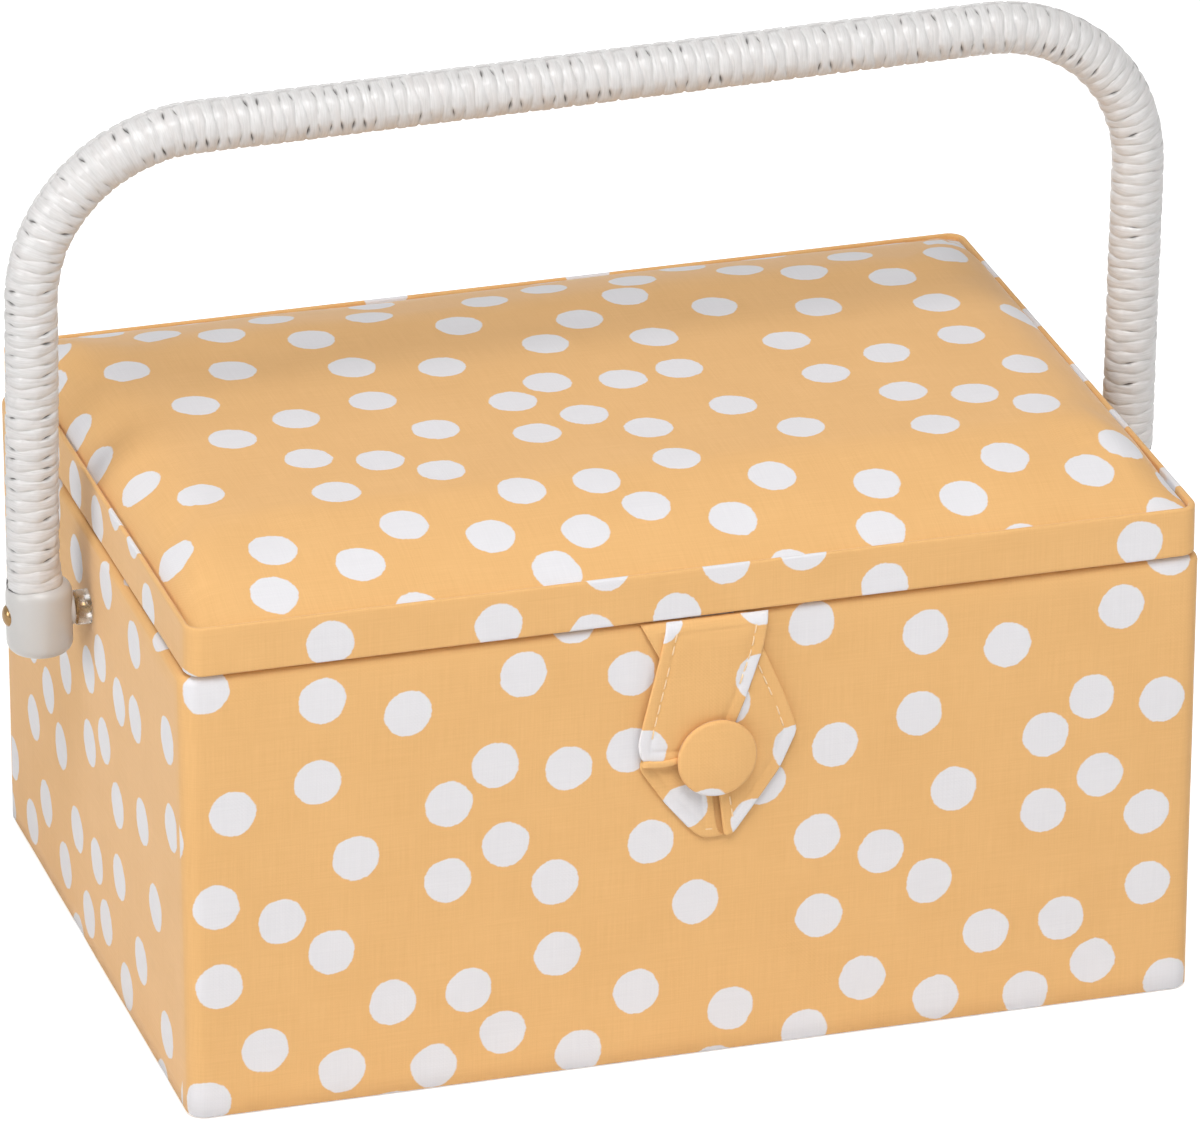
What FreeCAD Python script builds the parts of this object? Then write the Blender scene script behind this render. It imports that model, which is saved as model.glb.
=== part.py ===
import FreeCAD, Part
import math
import os

# Fabric-covered sewing box with a padded lid, a swing handle and a loop-and-button closure.
# Millimetres. +X is to the right, +Y is to the back, +Z is up.
# The origin is the centre of the underside, on the surface that the box stands on.

os.makedirs("parts", exist_ok=True)

# Outside of the box
WIDTH = 260.0
DEPTH = 188.0
BASE_HEIGHT = 121.0
LID_GAP = 1.1
BAND_HEIGHT = 12.6
CORNER_RADIUS = 4.0

# Sheet materials of the base
CLOTH = 0.8
BOARD = 3.0
LINING = 1.4
HEM_DEPTH = 9.0
LINING_DROP = 3.0
FLOOR_PAD = 2.5
COVER_LIFT = 0.3
SEAM_GAP = 0.2

# Lid
BAND = 1.2
PAD_CLOTH = 0.6
LID_BOARD = 2.5
LID_STRIP = 5.0
LID_LINING = 1.2
PAD_REVEAL = 0.6
PAD_EDGE_SLOPE = 32.0
PAD_TOP_SLOPE = 2.0
PAD_SHOULDER = 35.0
PAD_SHOULDER_STEPS = 6
PAD_MIDDLE_INSET = 68.0
PAD_MIDDLE_RISE = 0.7
PAD_SIDE_SHARE = 0.5
PAD_CORNER_GROWTH = 0.5
PAD_CORNER_SHARE = 0.8
SOFT_CORNER_STEPS = 3
FOAM_GAP = 0.1
FOAM_EDGE = 0.9

# Pincushion and pocket on the lid's underside
PINCUSHION_LENGTH = 88.0
PINCUSHION_WIDTH = 58.0
PINCUSHION_THICK = 8.5
PINCUSHION_X = -62.0
POCKET_LENGTH = 96.0
POCKET_WIDTH = 110.0
POCKET_THICK = 4.0
POCKET_X = 60.0
CUSHION_CORNER = 5.0
CUSHION_SIDE = [(1.6, 0.0), (0.3, 0.2), (0.0, 0.4), (0.8, 0.62), (3.2, 0.84), (8.0, 0.96), (15.0, 1.0)]
ELASTIC_WIDTH = 6.0
ELASTIC_THICK = 1.0

# Tray and the ledges that carry it
TRAY_GAP_X = 3.4
TRAY_GAP_Y = 2.4
TRAY_HEIGHT = 33.0
TRAY_WALL = 1.6
TRAY_FLOOR = 1.8
TRAY_CORNER = 8.0
TRAY_LIP = 1.2
TRAY_LIP_HEIGHT = 2.0
TRAY_DIVIDER = 1.8
TRAY_DIVIDER_DROP = 4.0
TRAY_END_POCKET = 62.0
TRAY_FRONT_POCKETS = 3
TRAY_BACK_POCKETS = 1
TRAY_FRONT_DEPTH = 74.0
POCKET_CORNER = 5.0
SCOOP_RADIUS = 17.0
SCOOP_DEPTH = 11.0
TRAY_SINK = 8.0
LEDGE_WIDTH = 8.0
LEDGE_HEIGHT = 5.0
LEDGE_LENGTH = 150.0

# Stop hinges at the back
HINGE_X = 75.0
HINGE_WIDTH = 25.0
LEAF_THICK = 0.8
LEAF_SEAT_GAP = 0.05
KNUCKLE_RADIUS = 1.7
PIN_RADIUS = 0.8
PIN_CLEARANCE = 0.05
KNUCKLE_GAP = 0.2
KNUCKLE_SHARE = 0.36
BASE_LEAF_HEIGHT = 13.0
LID_LEAF_HEIGHT = 11.5
LEAF_CORNER = 2.0
STOP_REACH = 6.4
STOP_THICK = 0.8
STOP_LEAN = 4.0
LID_OPEN_ANGLE = 95.0

# Swing handle
ARM_CLEARANCE = 15.7
HANDLE_RISE = 130.5
HANDLE_BEND = 42.0
BEND_STEPS = 5
CORE_RADIUS = 4.7
WINDING_RADIUS = 7.1
WINDING_GAP = 0.1
FLARE_RADIUS = 7.9
FLARE_LENGTH = 7.0

# Handle ends and pivots
PIVOT_DROP = 20.5
FERRULE_RADIUS = 8.5
FERRULE_SHIFT = 1.5
FERRULE_DROP = 9.0
FERRULE_RISE = 8.8
FERRULE_BEVEL = 0.8
SOCKET_WEB = 1.2
BOSS_RADIUS = 5.0
BOSS_PROUD = 0.2
SPACER_RADIUS = 4.5
SPACER_GAP = 0.3
RIVET_RADIUS = 1.8
RIVET_CLEARANCE = 0.08
RIVET_HEAD_RADIUS = 2.9
RIVET_HEAD_HEIGHT = 2.0
RIVET_HEAD_GAP = 0.15
RIVET_TAIL_RADIUS = 4.0
RIVET_TAIL_HEIGHT = 1.2
BORE_GAP = 0.1
DOME_SHARES = (1.0, 0.45)

# Covered button and its loop
BUTTON_X = 3.4
BUTTON_DROP = 35.6
BUTTON_RADIUS = 10.35
BUTTON_THICK = 4.8
BUTTON_ROUND = 1.8
BUTTON_CROWN = 1.1
SHANK_RADIUS = 1.8
SHANK_TAIL_RADIUS = 5.0
SHANK_TAIL_THICK = 1.0
LAYER = 1.1
LOOP_GAP = 0.35
LOOP_TOP_GAP = 0.2
LOOP_HOLE_RADIUS = 2.6
ANCHOR_THICK = 0.6
ANCHOR_REACH = 8.0

# Worked out once, used by several pieces
HALF_X = WIDTH / 2
HALF_Y = DEPTH / 2
WALL_X = HALF_X - CLOTH
WALL_Y = HALF_Y - CLOTH
INNER_X = WALL_X - BOARD
INNER_Y = WALL_Y - BOARD
ROOM_X = INNER_X - LINING
ROOM_Y = INNER_Y - LINING
WALL_RADIUS = CORNER_RADIUS - CLOTH
LID_BOTTOM = BASE_HEIGHT + LID_GAP
BAND_TOP = LID_BOTTOM + BAND_HEIGHT
PAD_EDGE = BAND_TOP - PAD_REVEAL
LID_BOARD_TOP = PAD_EDGE - PAD_CLOTH - FOAM_EDGE
LID_BOARD_BOTTOM = LID_BOARD_TOP - LID_BOARD
STRIP_X = HALF_X - BAND - PAD_CLOTH
STRIP_Y = HALF_Y - BAND - PAD_CLOTH
PAD_CORNER = CORNER_RADIUS - BAND - PAD_CLOTH
LID_WOOD_RADIUS = PAD_CORNER + SEAM_GAP
LID_ROOM_X = STRIP_X - LID_STRIP
LID_ROOM_Y = STRIP_Y - LID_STRIP
HINGE_Y = HALF_Y + LEAF_SEAT_GAP + KNUCKLE_RADIUS
HINGE_Z = BASE_HEIGHT + LID_GAP / 2
LEDGE_TOP = BASE_HEIGHT - TRAY_SINK - TRAY_HEIGHT
PIVOT_HEIGHT = BASE_HEIGHT - PIVOT_DROP
HANDLE_HEIGHT = PIVOT_HEIGHT + HANDLE_RISE
BUTTON_HEIGHT = BASE_HEIGHT - BUTTON_DROP
ARM_X = HALF_X + ARM_CLEARANCE
FERRULE_X = ARM_X - FERRULE_SHIFT
FERRULE_BOTTOM = PIVOT_HEIGHT - FERRULE_DROP
FERRULE_TOP = PIVOT_HEIGHT + FERRULE_RISE
SOCKET_BOTTOM = PIVOT_HEIGHT + RIVET_RADIUS + SOCKET_WEB
LOOP_BACK = -HALF_Y - LOOP_GAP
BUTTON_BACK = LOOP_BACK - 2 * LAYER - LOOP_GAP
X_AXIS = FreeCAD.Vector(1, 0, 0)
Y_AXIS = FreeCAD.Vector(0, 1, 0)
Z_AXIS = FreeCAD.Vector(0, 0, 1)


def save(name, shape):
    shape.exportStep(f"parts/{name}.step")


def block(x0, x1, y0, y1, z0, z1):
    corner = FreeCAD.Vector(x0, y0, z0)
    return Part.makeBox(x1 - x0, y1 - y0, z1 - z0, corner)


def rounded_wire(half_x, half_y, radius, z, x=0.0, y=0.0):
    """A rectangle with round corners, level at height z, around the point x, y."""
    edges = []
    last_end = None
    first_start = None
    corners = [(half_x, half_y, 0), (-half_x, half_y, 90), (-half_x, -half_y, 180), (half_x, -half_y, 270)]
    for corner_x, corner_y, start in corners:
        centre_x = x + corner_x - math.copysign(radius, corner_x)
        centre_y = y + corner_y - math.copysign(radius, corner_y)
        points = []
        for turn in (0, 45, 90):
            angle = math.radians(start + turn)
            along_x = centre_x + radius * math.cos(angle)
            along_y = centre_y + radius * math.sin(angle)
            points.append(FreeCAD.Vector(along_x, along_y, z))
        if last_end is None:
            first_start = points[0]
        else:
            edges.append(Part.LineSegment(last_end, points[0]).toShape())
        edges.append(Part.Arc(*points).toShape())
        last_end = points[2]
    edges.append(Part.LineSegment(last_end, first_start).toShape())
    return Part.Wire(edges)


def plate(half_x, half_y, radius, z0, z1, x=0.0, y=0.0):
    wire = rounded_wire(half_x, half_y, radius, z0, x, y)
    return Part.Face(wire).extrude(FreeCAD.Vector(0, 0, z1 - z0))


def room(half_x, half_y, z0, z1):
    return block(-half_x, half_x, -half_y, half_y, z0, z1)


def disc(radius, start, end, axis):
    """A round bar from the point start to the point end along an axis."""
    length = (end - start).dot(axis)
    return Part.makeCylinder(radius, abs(length), start if length > 0 else end, axis)


def outline_plate(points, y_front, y_back):
    """A flat piece in the X-Z plane between two depths, from its corners."""
    corners = [FreeCAD.Vector(x, y_front, z) for x, z in points]
    wire = Part.makePolygon(corners + [corners[0]])
    return Part.Face(wire).extrude(FreeCAD.Vector(0, y_back - y_front, 0))


def turned(points, origin, axis):
    """Revolve a closed outline, given as radius and travel along the axis, about an axis through origin."""
    side = Z_AXIS if abs(axis.dot(Z_AXIS)) < 0.5 else X_AXIS
    corners = [origin + side * radius + axis * travel for radius, travel in points]
    wire = Part.makePolygon(corners + [corners[0]])
    return Part.Face(wire).revolve(origin, axis, 360)


def dome_outline(radius, height, base):
    """Radius and travel along a shallow dome's side, from its edge to the flat in its middle."""
    curve = (radius ** 2 + height ** 2) / (2 * height)
    points = []
    for share in DOME_SHARES:
        angle = share * math.asin(radius / curve)
        points.append((curve * math.sin(angle), base + height - curve * (1 - math.cos(angle))))
    return points + [(0, points[-1][1])]


def soft_outline(half_x, half_y, radius, z, x=0.0):
    """Corners of a level outline whose round corners are short straight stretches."""
    points = []
    for side_x, side_y, start in ((1, 1, 0), (-1, 1, 90), (-1, -1, 180), (1, -1, 270)):
        for step in range(SOFT_CORNER_STEPS + 1):
            angle = math.radians(start + 90 * step / SOFT_CORNER_STEPS)
            along_x = side_x * (half_x - radius) + radius * math.cos(angle)
            along_y = side_y * (half_y - radius) + radius * math.sin(angle)
            points.append(FreeCAD.Vector(x + along_x, along_y, z))
    return points


def stacked(outlines):
    """A solid with flat sides through level outlines that all have the same number of corners."""
    faces = []
    for ends in (outlines[0], outlines[-1]):
        faces.append(Part.Face(Part.makePolygon(ends + ends[:1])))
    for low, high in zip(outlines, outlines[1:]):
        for place, corner in enumerate(low):
            around = [low[place - 1], corner, high[place], high[place - 1]]
            faces.append(Part.Face(Part.makePolygon(around + around[:1])))
    shell = Part.Shell(faces)
    shell.sewShape()
    return Part.Solid(shell)


def edges_at_height(shape, z):
    return [e for e in shape.Edges if abs(e.BoundBox.ZMin - z) < 1e-4 and abs(e.BoundBox.ZMax - z) < 1e-4]


# Base: five boards inside one cloth cover

def base_walls():
    top = BASE_HEIGHT - CLOTH
    walls = plate(WALL_X, WALL_Y, WALL_RADIUS, CLOTH, top).cut(room(INNER_X, INNER_Y, CLOTH, top))
    for side in (-1, 1):
        walls = walls.cut(pivot_bar(side, RIVET_RADIUS + BORE_GAP))
    walls = walls.cut(button_bar(SHANK_RADIUS + BORE_GAP))
    front = walls.common(block(-HALF_X, HALF_X, -HALF_Y, -INNER_Y, 0, BASE_HEIGHT))
    back = walls.common(block(-HALF_X, HALF_X, INNER_Y, HALF_Y, 0, BASE_HEIGHT))
    left = walls.common(block(-HALF_X, -INNER_X, -INNER_Y, INNER_Y, 0, BASE_HEIGHT))
    right = walls.common(block(INNER_X, HALF_X, -INNER_Y, INNER_Y, 0, BASE_HEIGHT))
    return front, back, left, right


def base_board():
    return room(INNER_X, INNER_Y, CLOTH, CLOTH + BOARD)


def cover_hem():
    """The cover's edge, turned over the walls and glued down inside."""
    bottom = BASE_HEIGHT - HEM_DEPTH
    outside = room(INNER_X, INNER_Y, bottom, BASE_HEIGHT)
    return outside.cut(room(INNER_X - CLOTH, INNER_Y - CLOTH, bottom, BASE_HEIGHT))


def outer_cover():
    cover = plate(HALF_X, HALF_Y, CORNER_RADIUS, COVER_LIFT, BASE_HEIGHT)
    cover = cover.cut(plate(WALL_X, WALL_Y, WALL_RADIUS, 0, BASE_HEIGHT - CLOTH))
    cover = cover.cut(room(INNER_X, INNER_Y, 0, BASE_HEIGHT))
    cover = cover.fuse(cover_hem()).removeSplitter()
    for side in (-1, 1):
        cover = cover.cut(pivot_bar(side, RIVET_RADIUS + BORE_GAP))
    cover = cover.cut(button_bar(SHANK_RADIUS + BORE_GAP))
    return cover


def bottom_cover():
    half_x = WALL_X - SEAM_GAP
    half_y = WALL_Y - SEAM_GAP
    return plate(half_x, half_y, WALL_RADIUS - SEAM_GAP, 0, CLOTH)


def wall_lining():
    bottom = CLOTH + BOARD
    top = BASE_HEIGHT - LINING_DROP
    lining = room(INNER_X, INNER_Y, bottom, top).cut(room(ROOM_X, ROOM_Y, bottom, top))
    lining = lining.cut(cover_hem())
    for side in (-1, 1):
        lining = lining.cut(pivot_bar(side, RIVET_RADIUS + BORE_GAP))
    return lining.cut(button_bar(SHANK_RADIUS + BORE_GAP))


def floor_pad():
    bottom = CLOTH + BOARD
    pad = room(ROOM_X - SEAM_GAP, ROOM_Y - SEAM_GAP, bottom, bottom + FLOOR_PAD)
    return pad.makeFillet(FLOOR_PAD * 0.4, edges_at_height(pad, bottom + FLOOR_PAD))


def tray_ledge(side):
    low, high = sorted((side * ROOM_X, side * (ROOM_X - LEDGE_WIDTH)))
    return block(low, high, -LEDGE_LENGTH / 2, LEDGE_LENGTH / 2, LEDGE_TOP - LEDGE_HEIGHT, LEDGE_TOP)


# Lift-out tray: one moulding, with a long pocket at the left, small ones in front and one at the back

def tray_pockets(half_x, half_y):
    """Centre and half sizes of every pocket, from the outside of the tray's walls."""
    left = -half_x + TRAY_WALL
    right = half_x - TRAY_WALL
    front = -half_y + TRAY_WALL
    back = half_y - TRAY_WALL
    spans = [(left, left + TRAY_END_POCKET, front, back)]
    start = left + TRAY_END_POCKET + TRAY_DIVIDER
    rows = [(TRAY_FRONT_POCKETS, front, front + TRAY_FRONT_DEPTH),
            (TRAY_BACK_POCKETS, front + TRAY_FRONT_DEPTH + TRAY_DIVIDER, back)]
    for count, row_front, row_back in rows:
        pocket_width = (right - start - TRAY_DIVIDER * (count - 1)) / count
        for place in range(count):
            low = start + place * (pocket_width + TRAY_DIVIDER)
            spans.append((low, low + pocket_width, row_front, row_back))
    return spans


def tray():
    half_x = ROOM_X - TRAY_GAP_X
    half_y = ROOM_Y - TRAY_GAP_Y
    top = LEDGE_TOP + TRAY_HEIGHT
    body = plate(half_x, half_y, TRAY_CORNER, LEDGE_TOP, top)
    lip = plate(half_x + TRAY_LIP, half_y + TRAY_LIP, TRAY_CORNER + TRAY_LIP, top - TRAY_LIP_HEIGHT, top)
    body = body.fuse(lip).removeSplitter()
    floor = LEDGE_TOP + TRAY_FLOOR
    for x0, x1, y0, y1 in tray_pockets(half_x, half_y):
        middle = ((x0 + x1) / 2, (y0 + y1) / 2)
        body = body.cut(plate((x1 - x0) / 2, (y1 - y0) / 2, POCKET_CORNER, floor, top, *middle))
    inside = plate(half_x - TRAY_WALL, half_y - TRAY_WALL, TRAY_CORNER - TRAY_WALL, top - TRAY_DIVIDER_DROP, top)
    body = body.cut(inside)
    scoop_z = top - SCOOP_DEPTH + SCOOP_RADIUS
    reach = half_x + TRAY_LIP
    for side in (-1, 1):
        inner = FreeCAD.Vector(side * (half_x - 2 * TRAY_WALL), 0, scoop_z)
        outer = FreeCAD.Vector(side * (reach + TRAY_LIP), 0, scoop_z)
        body = body.cut(disc(SCOOP_RADIUS, inner, outer, X_AXIS))
    return body


# Lid: a board on four strips, foam and cloth over it, and a covered band around it

def pad_form(grow, bottom):
    """The padded top, grown on every side and closed below; its ends are steeper than its front and back."""
    half_x = STRIP_X + grow
    half_y = STRIP_Y + grow
    radius = PAD_CORNER + grow
    edge = PAD_EDGE - PAD_CLOTH + grow
    start = math.radians(PAD_EDGE_SLOPE)
    end = math.radians(PAD_TOP_SLOPE)
    curve = PAD_SHOULDER / (math.sin(start) - math.sin(end))
    sections = []
    for step in range(PAD_SHOULDER_STEPS + 1):
        slope = start + (end - start) * step / PAD_SHOULDER_STEPS
        inset = curve * (math.sin(start) - math.sin(slope))
        rise = curve * (math.cos(slope) - math.cos(start))
        sections.append((inset, rise))
    sections.append((PAD_MIDDLE_INSET, sections[-1][1] + PAD_MIDDLE_RISE))
    outlines = [soft_outline(half_x, half_y, radius, bottom)]
    for inset, rise in sections:
        corner = min(radius + inset * PAD_CORNER_GROWTH, (half_y - inset) * PAD_CORNER_SHARE)
        outlines.append(soft_outline(half_x - inset * PAD_SIDE_SHARE, half_y - inset, corner, edge + rise))
    return stacked(outlines)


def lid_foam():
    return pad_form(-FOAM_GAP, LID_BOARD_TOP)


def pad_cover():
    bottom = LID_BOTTOM + 2 * PAD_CLOTH
    return pad_form(PAD_CLOTH, bottom).cut(pad_form(0, 0))


def lid_board():
    return plate(STRIP_X, STRIP_Y, LID_WOOD_RADIUS, LID_BOARD_BOTTOM, LID_BOARD_TOP)


def lid_strips():
    bottom = LID_BOTTOM + PAD_CLOTH
    frame = plate(STRIP_X, STRIP_Y, LID_WOOD_RADIUS, bottom, LID_BOARD_BOTTOM)
    frame = frame.cut(room(LID_ROOM_X, LID_ROOM_Y, bottom, LID_BOARD_BOTTOM))
    height = (0, BAND_TOP)
    front = frame.common(block(-HALF_X, HALF_X, -HALF_Y, -LID_ROOM_Y, *height))
    back = frame.common(block(-HALF_X, HALF_X, LID_ROOM_Y, HALF_Y, *height))
    left = frame.common(block(-HALF_X, -LID_ROOM_X, -LID_ROOM_Y, LID_ROOM_Y, *height))
    right = frame.common(block(LID_ROOM_X, HALF_X, -LID_ROOM_Y, LID_ROOM_Y, *height))
    return front, back, left, right


def lid_band():
    radius = CORNER_RADIUS - BAND
    band = plate(HALF_X, HALF_Y, CORNER_RADIUS, LID_BOTTOM, BAND_TOP)
    band = band.cut(plate(HALF_X - BAND, HALF_Y - BAND, radius, LID_BOTTOM + PAD_CLOTH, BAND_TOP))
    band = band.cut(room(LID_ROOM_X, LID_ROOM_Y, LID_BOTTOM, BAND_TOP))
    return band


def lid_lining():
    bottom = LID_BOTTOM + PAD_CLOTH
    skin = room(LID_ROOM_X, LID_ROOM_Y, bottom, LID_BOARD_BOTTOM)
    inner = room(LID_ROOM_X - LID_LINING, LID_ROOM_Y - LID_LINING, bottom, LID_BOARD_BOTTOM - LID_LINING)
    return skin.cut(inner)


def cushion(length, width, thick, x, top):
    """A soft pad under the lid, with a crown below and drawn-in sides."""
    half_x, half_y = length / 2, width / 2
    outlines = []
    for inset, share in CUSHION_SIDE:
        corner = CUSHION_CORNER + inset * PAD_CORNER_GROWTH
        outlines.append(soft_outline(half_x - inset, half_y - inset, corner, top - share * thick, x))
    return stacked(outlines)


def pincushion():
    return cushion(PINCUSHION_LENGTH, PINCUSHION_WIDTH, PINCUSHION_THICK, PINCUSHION_X, lid_ceiling())


def lid_pocket():
    return cushion(POCKET_LENGTH, POCKET_WIDTH, POCKET_THICK, POCKET_X, lid_ceiling())


def pocket_elastic():
    """The gathered mouth of the pocket, along its front edge."""
    y0 = -POCKET_WIDTH / 2 - ELASTIC_WIDTH
    top = lid_ceiling()
    x0 = POCKET_X - POCKET_LENGTH / 2
    return block(x0, x0 + POCKET_LENGTH, y0, y0 + ELASTIC_WIDTH, top - ELASTIC_THICK, top)


def lid_ceiling():
    return LID_BOARD_BOTTOM - LID_LINING


# Stop hinges: two leaves each, with three knuckles on a pin and a tongue that ends the lid's travel

def hinge_axis_point(x):
    return FreeCAD.Vector(x, HINGE_Y, HINGE_Z)


def knuckle(x0, x1):
    return disc(KNUCKLE_RADIUS, hinge_axis_point(x0), hinge_axis_point(x1), X_AXIS)


def pin_bore(x0, x1):
    return disc(PIN_RADIUS + PIN_CLEARANCE, hinge_axis_point(x0), hinge_axis_point(x1), X_AXIS)


def leaf_plate(x, low, high):
    y0 = HALF_Y + LEAF_SEAT_GAP
    leaf = block(x - HINGE_WIDTH / 2, x + HINGE_WIDTH / 2, y0, y0 + LEAF_THICK, low, high)
    far = low if high > HINGE_Z - KNUCKLE_RADIUS and low < HINGE_Z - KNUCKLE_RADIUS else high
    corners = [e for e in leaf.Edges if e.BoundBox.YLength > LEAF_THICK / 2
               and abs(e.BoundBox.ZMin - far) < 1e-4 and abs(e.BoundBox.ZMax - far) < 1e-4]
    return leaf.makeFillet(LEAF_CORNER, corners)


def knuckle_spans(x):
    """X limits of the left, middle and right knuckles of a hinge."""
    middle = HINGE_WIDTH * KNUCKLE_SHARE / 2
    outer = HINGE_WIDTH / 2
    return (x - outer, x - middle - KNUCKLE_GAP), (x - middle, x + middle), (x + middle + KNUCKLE_GAP, x + outer)


def hinge_base_leaf(x):
    left, middle, right = knuckle_spans(x)
    leaf = leaf_plate(x, HINGE_Z - BASE_LEAF_HEIGHT, HINGE_Z)
    relief = disc(KNUCKLE_RADIUS + KNUCKLE_GAP, hinge_axis_point(left[1]), hinge_axis_point(right[0]), X_AXIS)
    above = block(left[1], right[0], HALF_Y, HINGE_Y, HINGE_Z, HINGE_Z + KNUCKLE_RADIUS)
    leaf = leaf.cut(relief).cut(above)
    leaf = leaf.fuse([knuckle(*left), knuckle(*right)])
    leaf = leaf.cut(pin_bore(x - HINGE_WIDTH, x + HINGE_WIDTH))
    return leaf.removeSplitter()


def stop_tongue(x):
    """The tongue on the lid's leaf that lands on the base's leaf when the lid is fully open."""
    left, middle, right = knuckle_spans(x)
    tongue = block(middle[0], middle[1], HINGE_Y - STOP_THICK / 2, HINGE_Y + STOP_THICK / 2,
                   HINGE_Z - STOP_REACH, HINGE_Z)
    tongue.rotate(hinge_axis_point(x), X_AXIS, LID_OPEN_ANGLE - STOP_LEAN)
    return tongue


def hinge_lid_leaf(x):
    left, middle, right = knuckle_spans(x)
    leaf = leaf_plate(x, HINGE_Z, LID_BOTTOM + LID_LEAF_HEIGHT)
    for low, high in (left, right):
        start, end = hinge_axis_point(low - KNUCKLE_GAP), hinge_axis_point(high + KNUCKLE_GAP)
        leaf = leaf.cut(disc(KNUCKLE_RADIUS + KNUCKLE_GAP, start, end, X_AXIS))
    leaf = leaf.fuse([knuckle(*middle), stop_tongue(x)])
    leaf = leaf.cut(pin_bore(x - HINGE_WIDTH, x + HINGE_WIDTH))
    return leaf.removeSplitter()


def hinge_pin(x):
    reach = HINGE_WIDTH / 2
    return disc(PIN_RADIUS, hinge_axis_point(x - reach), hinge_axis_point(x + reach), X_AXIS)


# Swing handle: a bent core under a wound sleeve, with a moulded ferrule on each end

def handle_tube(radius, bottom):
    """The bent bar: an arm and a quarter bend on each side, and the straight grip between them."""
    bend_z = HANDLE_HEIGHT - HANDLE_BEND
    bend_x = ARM_X - HANDLE_BEND
    grip_start = FreeCAD.Vector(-bend_x, 0, HANDLE_HEIGHT)
    tube = disc(radius, grip_start, FreeCAD.Vector(bend_x, 0, HANDLE_HEIGHT), X_AXIS)
    for side in (-1, 1):
        arm = Part.makeCylinder(radius, bend_z - bottom, FreeCAD.Vector(side * ARM_X, 0, bottom), Z_AXIS)
        rings = []
        for step in range(BEND_STEPS + 1):
            angle = math.radians(90 * step / BEND_STEPS)
            outward = FreeCAD.Vector(side * math.cos(angle), 0, math.sin(angle))
            along = FreeCAD.Vector(-side * math.sin(angle), 0, math.cos(angle))
            centre = FreeCAD.Vector(side * bend_x, 0, bend_z) + outward * HANDLE_BEND
            rings.append(Part.Wire([Part.Circle(centre, along, radius).toShape()]))
        tube = tube.fuse([arm, Part.makeLoft(rings, True, True)])
    return tube.removeSplitter()


def handle_core():
    return handle_tube(CORE_RADIUS, SOCKET_BOTTOM)


def handle_winding():
    sleeve = handle_tube(WINDING_RADIUS, FERRULE_TOP)
    for side in (-1, 1):
        foot = FreeCAD.Vector(side * ARM_X, 0, FERRULE_TOP)
        sleeve = sleeve.fuse(Part.makeCone(FLARE_RADIUS, WINDING_RADIUS, FLARE_LENGTH, foot, Z_AXIS))
    return sleeve.cut(handle_tube(CORE_RADIUS + WINDING_GAP, FERRULE_TOP)).removeSplitter()


def ferrule(side):
    foot = FreeCAD.Vector(side * FERRULE_X, 0, FERRULE_BOTTOM)
    height = FERRULE_TOP - FERRULE_BOTTOM
    rim = FERRULE_RADIUS - FERRULE_BEVEL
    outline = [(0, 0), (rim, 0), (FERRULE_RADIUS, FERRULE_BEVEL), (FERRULE_RADIUS, height), (0, height)]
    body = turned(outline, foot, Z_AXIS)
    middle = FreeCAD.Vector(side * FERRULE_X, 0, PIVOT_HEIGHT)
    body = body.fuse(disc(BOSS_RADIUS, middle, FreeCAD.Vector(side * boss_face(), 0, PIVOT_HEIGHT), X_AXIS))
    socket_foot = FreeCAD.Vector(side * ARM_X, 0, SOCKET_BOTTOM - WINDING_GAP)
    body = body.cut(Part.makeCylinder(CORE_RADIUS + WINDING_GAP, FERRULE_TOP, socket_foot, Z_AXIS))
    seat = FreeCAD.Vector(side * head_seat(), 0, PIVOT_HEIGHT)
    outside = FreeCAD.Vector(side * (FERRULE_X + 2 * FERRULE_RADIUS), 0, PIVOT_HEIGHT)
    body = body.cut(disc(RIVET_HEAD_RADIUS + RIVET_HEAD_GAP, seat, outside, X_AXIS))
    return body.cut(pivot_bar(side, RIVET_RADIUS + RIVET_CLEARANCE)).removeSplitter()


def boss_face():
    return FERRULE_X - FERRULE_RADIUS - BOSS_PROUD


def head_seat():
    """Where the spot face for the rivet's head cuts the ferrule's round side."""
    edge = RIVET_HEAD_RADIUS + RIVET_HEAD_GAP
    return FERRULE_X + math.sqrt(FERRULE_RADIUS ** 2 - edge ** 2)


# Pivots: rivet and spacer on each side

def pivot_bar(side, radius):
    inner = FreeCAD.Vector(side * (ROOM_X - LINING), 0, PIVOT_HEIGHT)
    outer = FreeCAD.Vector(side * (ARM_X + 2 * FERRULE_RADIUS), 0, PIVOT_HEIGHT)
    return disc(radius, inner, outer, X_AXIS)


def pivot_rivet(side):
    tail_end = ROOM_X
    tail_start = tail_end - RIVET_TAIL_HEIGHT
    head_start = head_seat() + RIVET_HEAD_GAP
    outline = [(0, tail_start), (RIVET_TAIL_RADIUS, tail_start), (RIVET_TAIL_RADIUS, tail_end),
               (RIVET_RADIUS, tail_end), (RIVET_RADIUS, head_start)]
    outline += dome_outline(RIVET_HEAD_RADIUS, RIVET_HEAD_HEIGHT, head_start)
    return turned(outline, FreeCAD.Vector(0, 0, PIVOT_HEIGHT), X_AXIS * side)


def spacer(side):
    inner = FreeCAD.Vector(side * HALF_X, 0, PIVOT_HEIGHT)
    outer = FreeCAD.Vector(side * (boss_face() - SPACER_GAP), 0, PIVOT_HEIGHT)
    tube = disc(SPACER_RADIUS, inner, outer, X_AXIS)
    return tube.cut(pivot_bar(side, RIVET_RADIUS + BORE_GAP))


# Covered button on the front wall

def button_point(y):
    return FreeCAD.Vector(BUTTON_X, y, BUTTON_HEIGHT)


def button_bar(radius):
    return disc(radius, button_point(BUTTON_BACK), button_point(-ROOM_Y + LINING), Y_AXIS)


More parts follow.
